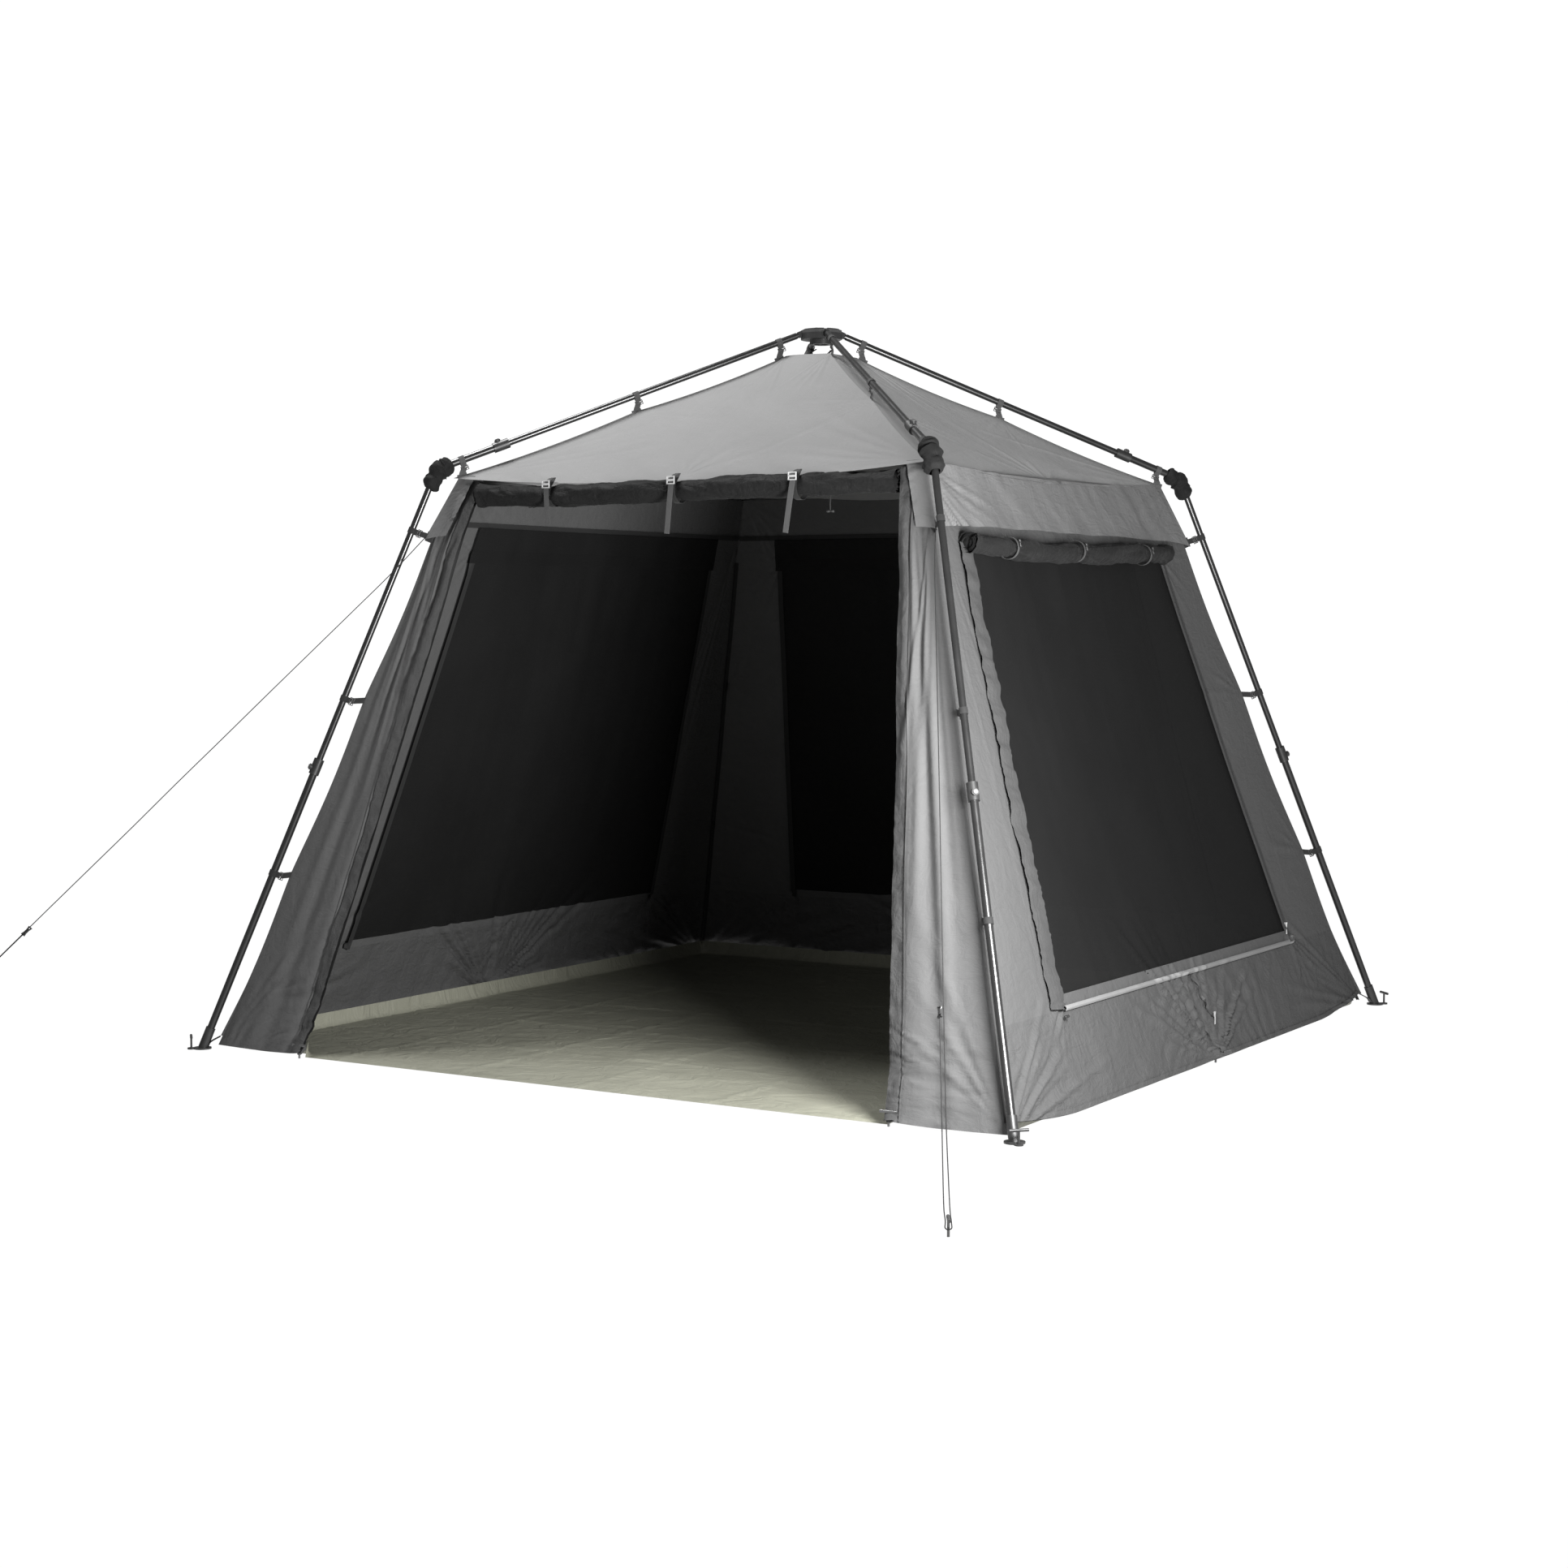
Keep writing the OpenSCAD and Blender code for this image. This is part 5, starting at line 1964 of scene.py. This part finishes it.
@dataclass
class Sleeves:
    """Padded cloth sleeves over the four elbows."""

    finishes: Finishes
    reach: float = 0.052
    radius: float = 0.031

    def spine(self, corner: Corner) -> Array:
        """Middle line of a sleeve, from the arm over the elbow to the leg."""
        arm = PLAN.arm_point(corner, PLAN.elbow_half * math.sqrt(2) - self.reach)
        elbow = corner.at(PLAN.elbow_half * math.sqrt(2), PLAN.elbow_z)
        leg = PLAN.leg_point(corner, PLAN.elbow_z - self.reach * 1.25)
        inward = corner.at(-0.007, -0.008)
        bend = elbow + inward
        return curve_through([arm, arm * 0.45 + bend * 0.55, bend, leg * 0.5 + bend * 0.5, leg], 9)

    def net(self, corner: Corner) -> ClothNet:
        """The sleeve's skin: rows round it, columns along it."""
        path = self.spine(corner)
        heading = np.gradient(path, axis=0)
        heading /= np.linalg.norm(heading, axis=1, keepdims=True)
        side = corner.along_ring
        up = np.cross(heading, side)
        up /= np.linalg.norm(up, axis=1, keepdims=True)
        t = np.linspace(0, 1, len(path))
        lumps, folds = Ripple(corner.value + 5), Ripple(corner.value + 9)
        bulge = self.radius * (0.80 + 0.24 * np.abs(np.sin(math.pi * (3.0 * t + 0.05))) ** 0.7)
        mouth = np.clip(np.minimum(t, 1 - t) / 0.10, 0, 1) ** 0.5
        bulge = bulge * (0.62 + 0.38 * mouth)
        angles = np.linspace(0, 2 * math.pi, 49)
        rows = []
        for a in angles:
            ca, sa = math.cos(a), math.sin(a)
            lump = 0.16 * lumps.layered(t * 5 + 2, np.full_like(t, 3 + ca * 1.1), 2)
            lump = lump + 0.13 * folds.creased(t * 13 + sa * 1.3, np.full_like(t, 5 + ca * 1.6), 2)
            r = bulge * (1 + lump)
            rows.append(path + side * (r * sa)[:, None] + up * (r * ca)[:, None])
        rows[-1] = rows[0]
        along = np.concatenate([[0], np.cumsum(np.linalg.norm(np.diff(path, axis=0), axis=1))])
        weave = np.stack([np.stack([along, np.full_like(along, a * self.radius)], axis=-1) for a in angles])
        return ClothNet(np.stack(rows), weave)

    def build(self) -> None:
        """Builds the sleeves."""
        for corner in Corner:
            net = self.net(corner)
            piece = build_piece(f"elbow_sleeve_{corner.code}", [net], [self.finishes.sleeve])
            spine = self.spine(corner)
            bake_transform(piece)
        log.info("sleeves: one on each elbow")


# ---- Ground -----------------------------------------------------------------------------------


@dataclass
class GroundCloth:
    """The groundsheet: flat, with lines from folding, a raised hem and faint rucks."""

    finishes: Finishes
    step: float = 0.015
    rim_width: float = 0.030
    rim_height: float = 0.052

    def build(self) -> None:
        """Builds the sheet."""
        half = PLAN.tent_half - 0.004
        rim_start = half - self.rim_width
        values = lines(-half, -rim_start, 0.0, rim_start, half, step=self.step)
        x, y = np.meshgrid(values, values)
        ripple, crush = Ripple(301), Ripple(302)
        lines_x = np.abs((x / 0.48 + 0.5) % 1 - 0.5) * 0.48
        lines_y = np.abs((y / 0.48 + 0.5) % 1 - 0.5) * 0.48
        crease = 0.0035 * (np.exp(-((lines_x / 0.012) ** 2)) + np.exp(-((lines_y / 0.012) ** 2)))
        soft = 0.0045 * np.maximum(ripple.layered(x * 2.4, y * 2.4, 3), 0)
        ruck = 0.0035 * np.maximum(crush.creased(x * 3.1 + y, y * 7 - x * 2, 2), 0)
        reach = np.maximum(np.abs(x), np.abs(y))
        edge = np.clip((half - reach) / 0.05, 0, 1)
        doorway = (y < 0) & (np.abs(x) < float(PLAN.door_half(0.0)))
        rim = np.clip((reach - half + self.rim_width) / self.rim_width, 0, 1)
        turned_up = np.where(doorway, 0.0, self.rim_height * rim**1.5)
        z = 0.002 + (crease + soft + ruck) * edge + turned_up
        drawn_in = np.where(doorway, 1.0, 1 - 0.012 * rim)
        x, y = x * drawn_in, y * drawn_in
        flat_x, flat_y = np.meshgrid(values, values)
        net = ClothNet(np.stack([x, y, z], axis=-1), np.stack([flat_x, flat_y], axis=-1))
        piece = build_piece("groundsheet_cloth", [net], [self.finishes.ground])
        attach(piece, "tent")
        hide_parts("groundsheet")
        flat, area = net.cut_size()
        log.info("groundsheet: %.2f by %.2f", *flat)


@dataclass
class PegLoops:
    """Webbing loops from the hem to its pegs, and from the tent's corners to the feet."""

    finishes: Finishes

    def build(self) -> None:
        """Builds the loops."""
        out = PLAN.tent_half + 0.012
        door = float(PLAN.door_half(0.0))
        spots = [(Side.FRONT, -door), (Side.FRONT, door)]
        spots += [(side, 0.0) for side in (Side.RIGHT, Side.REAR, Side.LEFT)]
        for k, (side, x) in enumerate(spots):
            centre = np.array([x, -out, 0.020])
            ring = arc(centre, np.array([1, 0, 0]), np.array([0, -1, 0]), 0.0062, -60, 240, 16)
            start = np.array([x + 0.006, -PLAN.tent_half + 0.010, 0.034])
            end = np.array([x - 0.006, -PLAN.tent_half + 0.010, 0.034])
            path = side.to_room(np.vstack([start, ring, end]))
            net = Band(path, (0, 0, 1), 0.015).net()
            piece = build_piece(f"peg_loop_{k + 1}", [net], [self.finishes.webbing])
            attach(piece, "tent")
        for corner in Corner:
            inner = PLAN.tent_half * math.sqrt(2) - 0.010
            foot = PLAN.foot_half * math.sqrt(2)
            path = curve_through(
                [corner.at(inner, 0.040), corner.at(inner + 0.03, 0.024), corner.at(foot - 0.020, 0.010)], 6
            )
            net = Band(path, corner.along_ring, 0.024, 0.0022).net()
            piece = build_piece(f"foot_strap_{corner.code}", [net], [self.finishes.webbing])
            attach(piece, f"leg_lower_{corner.code}")
        log.info("peg loops: five at the hem and four at the feet")


@dataclass
class GuyLine:
    """A limp braided line from the eave's tip, round its peg and back up to the runner."""

    name: str
    node: str
    mirror: int
    finishes: Finishes
    runner: bpy.types.Object
    diameter: float = 0.003
    route: tuple[tuple[float, float, float], ...] = (
        (0.966, -0.968, 1.700), (1.023, -1.079, 1.577), (1.095, -1.207, 1.441), (1.167, -1.335, 1.306),
        (1.239, -1.463, 1.171), (1.311, -1.591, 1.035), (1.383, -1.719, 0.900), (1.454, -1.846, 0.764),
        (1.526, -1.974, 0.629), (1.598, -2.102, 0.494), (1.670, -2.230, 0.358), (1.742, -2.358, 0.223),
        (1.798, -2.453, 0.122), (1.836, -2.516, 0.056), (1.849, -2.534, 0.034), (1.857, -2.546, 0.023),
        (1.858, -2.552, 0.020), (1.854, -2.558, 0.019), (1.848, -2.558, 0.020), (1.843, -2.554, 0.023),
        (1.837, -2.541, 0.034), (1.822, -2.520, 0.059), (1.787, -2.459, 0.126), (1.733, -2.363, 0.225),
        (1.661, -2.235, 0.360), (1.612, -2.147, 0.452),
    )

    def path(self) -> Array:
        """The line's smooth middle line."""
        return curve_through([(self.mirror * x, y, z) for x, y, z in self.route], 5)

    def tube(self, path: Array) -> ClothNet:
        """The line's round skin: rows round it, columns along it."""
        heading = np.gradient(path, axis=0)
        heading /= np.linalg.norm(heading, axis=1, keepdims=True)
        side = np.cross(heading, np.array([0.0, 1.0, 0.2]))
        side /= np.linalg.norm(side, axis=1, keepdims=True)
        up = np.cross(heading, side)
        along = np.concatenate([[0], np.cumsum(np.linalg.norm(np.diff(path, axis=0), axis=1))])
        angles = np.linspace(0, 2 * math.pi, 11)
        r = self.diameter / 2
        rows = [path + side * r * math.cos(a) + up * r * math.sin(a) for a in angles]
        rows[-1] = rows[0]
        weave = np.stack([np.stack([along, np.full_like(along, a * r)], axis=-1) for a in angles])
        return ClothNet(np.stack(rows), weave)

    def build(self) -> None:
        path = self.path()
        net = self.tube(path)
        piece = build_piece(self.name, [net], [self.finishes.cord])
        end, before = np.array(path[-1]), np.array(path[-6])
        up = (end - before) / np.linalg.norm(end - before)
        side = np.cross(up, np.array([0, 1.0, 0]))
        side /= np.linalg.norm(side)
        slider = copy_piece(self.runner, f"{self.name}_runner", basis(side, np.cross(up, side), up, end))
        for part in (piece, slider):
            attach(part, "tent")
            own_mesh(part)
        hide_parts(self.node)
        [(self.mirror * x, y, z) for x, y, z in self.route]


# ---- Frame finishes and the studio ------------------------------------------------------------


def dress_frame(finishes: Finishes) -> None:
    """Gives each carried-over node of the frame its finish."""
    chosen: dict[str, bpy.types.Material] = {
        "arm_inner": finishes.pole,
        "arm_outer": finishes.pole,
        "leg_upper": finishes.pole,
        "leg_lower": finishes.pole,
        "arm_lock": finishes.black,
        "leg_lock": finishes.black,
        "elbow": finishes.black,
        "foot": finishes.black,
        "arm_button": finishes.button,
        "leg_button": finishes.button,
        "hub_top": finishes.hub,
        "hub_cup": finishes.black,
        "hub_pins": finishes.bright,
        "hem_pegs": finishes.peg,
        "guy_pegs": finishes.peg,
    }
    for name, node in frame["nodes"].items():
        match = [m for start, m in chosen.items() if name.startswith(start)]
        if match:
            node.data.materials.clear()
            node.data.materials.append(match[0])
    log.info("frame: finishes on %d nodes", len(frame["nodes"]))


@dataclass
class Studio:
    """Camera, floor and soft lights."""

    stand: tuple[float, float, float] = (4.61, -7.80, 1.42)
    azimuth: float = 31.4
    elevation: float = 3.6
    lens: float = 59.63

    def camera(self) -> None:
        """Makes the camera."""
        data = bpy.data.cameras.new("camera")
        data.lens = self.lens
        data.sensor_width = 36
        data.clip_end = 100
        camera = bpy.data.objects.new("camera", data)
        camera.location = self.stand
        camera.rotation_euler = (math.radians(90 - self.elevation), 0, math.radians(self.azimuth))
        bpy.context.scene.collection.objects.link(camera)
        bpy.context.scene.camera = camera
        log.info("camera: %.1f mm lens", self.lens)

    @staticmethod
    def area_light(
        name: str, place: Sequence[float], aim: Sequence[float], size: float, power: float
    ) -> None:
        """Makes a soft square light at a place, aimed at a point."""
        data = bpy.data.lights.new(name, "AREA")
        data.size = size
        data.energy = power
        lamp = bpy.data.objects.new(name, data)
        lamp.location = place
        lamp.rotation_euler = (Vector(place) - Vector(aim)).to_track_quat("Z", "Y").to_euler()
        lamp.visible_camera = False
        bpy.context.scene.collection.objects.link(lamp)

    def build(self, finishes: Finishes) -> None:
        """Makes the floor, the sky and the lights."""
        bpy.ops.object.select_all(action="DESELECT")
        bpy.ops.mesh.primitive_plane_add(size=80)
        floor = bpy.context.object
        floor.name = "studio_floor"
        floor.data.materials.append(finishes.floor)
        world = bpy.data.worlds.new("studio")
        world.use_nodes = True
        bpy.context.scene.world = world
        tree = world.node_tree
        tree.nodes.clear()
        path = tree.nodes.new("ShaderNodeLightPath")
        shown, lit = tree.nodes.new("ShaderNodeBackground"), tree.nodes.new("ShaderNodeBackground")
        shown.inputs["Color"].default_value = (1, 1, 1, 1)
        shown.inputs["Strength"].default_value = 1.05
        lit.inputs["Color"].default_value = (1, 1, 1, 1)
        lit.inputs["Strength"].default_value = 0.22
        mix, output = tree.nodes.new("ShaderNodeMixShader"), tree.nodes.new("ShaderNodeOutputWorld")
        tree.links.new(path.outputs["Is Camera Ray"], mix.inputs[0])
        tree.links.new(lit.outputs[0], mix.inputs[1])
        tree.links.new(shown.outputs[0], mix.inputs[2])
        tree.links.new(mix.outputs[0], output.inputs[0])
        self.area_light("top_soft", (-1.9, -1.0, 5.6), (0, -0.2, 2.1), 1.6, 280)
        self.area_light("corner_key", (2.5, -2.2, 1.25), (1.1, -1.0, 1.0), 0.7, 225)
        view = bpy.context.scene.view_settings
        view.view_transform = "Standard"
        view.look = "None"
        view.exposure = 0
        view.gamma = 1
        log.info("studio: floor and lights")


# ---- The whole --------------------------------------------------------------------------------


def main() -> None:
    """Builds the object in order."""
    studio = Studio()
    studio.camera()
    finishes = Finishes()
    runner = Bench.runner(finishes.black)
    GuyLine("guy_line_front", "guy_front", 1, finishes, runner).build()
    GuyLine("guy_line_left", "guy_left", -1, finishes, runner).build()
    dress_frame(finishes)
    Roof(finishes).build()
    FrontWall(Side.FRONT, finishes).build()
    right = WindowWall(Side.RIGHT, finishes, cover_open=True)
    right.build()
    WindowWall(Side.REAR, finishes).build()
    WindowWall(Side.LEFT, finishes).build()
    door_z, window_z = 1.838, 1.650
    door_out = float(PLAN.wall_half(door_z)) + 0.008
    cover_out = float(PLAN.wall_half(window_z)) + 0.038
    door = Roll(
        "rolled_door", Side.FRONT, (-0.795, 0.795), door_z, door_out, 0.041, 1.75,
        (-0.49, 0.0, 0.45), ("door_roll",), finishes.roll, 11,
    )
    door.build()
    cover = Roll(
        "rolled_cover", Side.RIGHT, (-0.775, 0.725), window_z, cover_out, 0.038, 1.30,
        (-0.51, -0.02, 0.52), ("window_roll",), finishes.cover_roll, 17, 0.32, 0.24,
    )
    cover.build()
    buckle = Bench.ladder_buckle(finishes.black, 0.027, 0.016, 0.0045)
    big_buckle = Bench.ladder_buckle(finishes.buckle, 0.030, 0.026, 0.005)
    toggle = Bench.toggle(finishes.black, 0.024, 0.0045)
    pull = Bench.zip_pull(finishes.bright)
    PoleStraps(finishes, buckle).build()
    DoorTies(finishes, big_buckle, toggle, door).build()
    WindowTies(finishes, toggle, pull, cover, right).build()
    HubStraps(finishes).build()
    Sleeves(finishes).build()
    GroundCloth(finishes).build()
    PegLoops(finishes).build()
    for template in (runner, buckle, big_buckle, toggle, pull):
        bpy.data.objects.remove(template)
    studio.build(finishes)


if __name__ == "__main__":
    main()
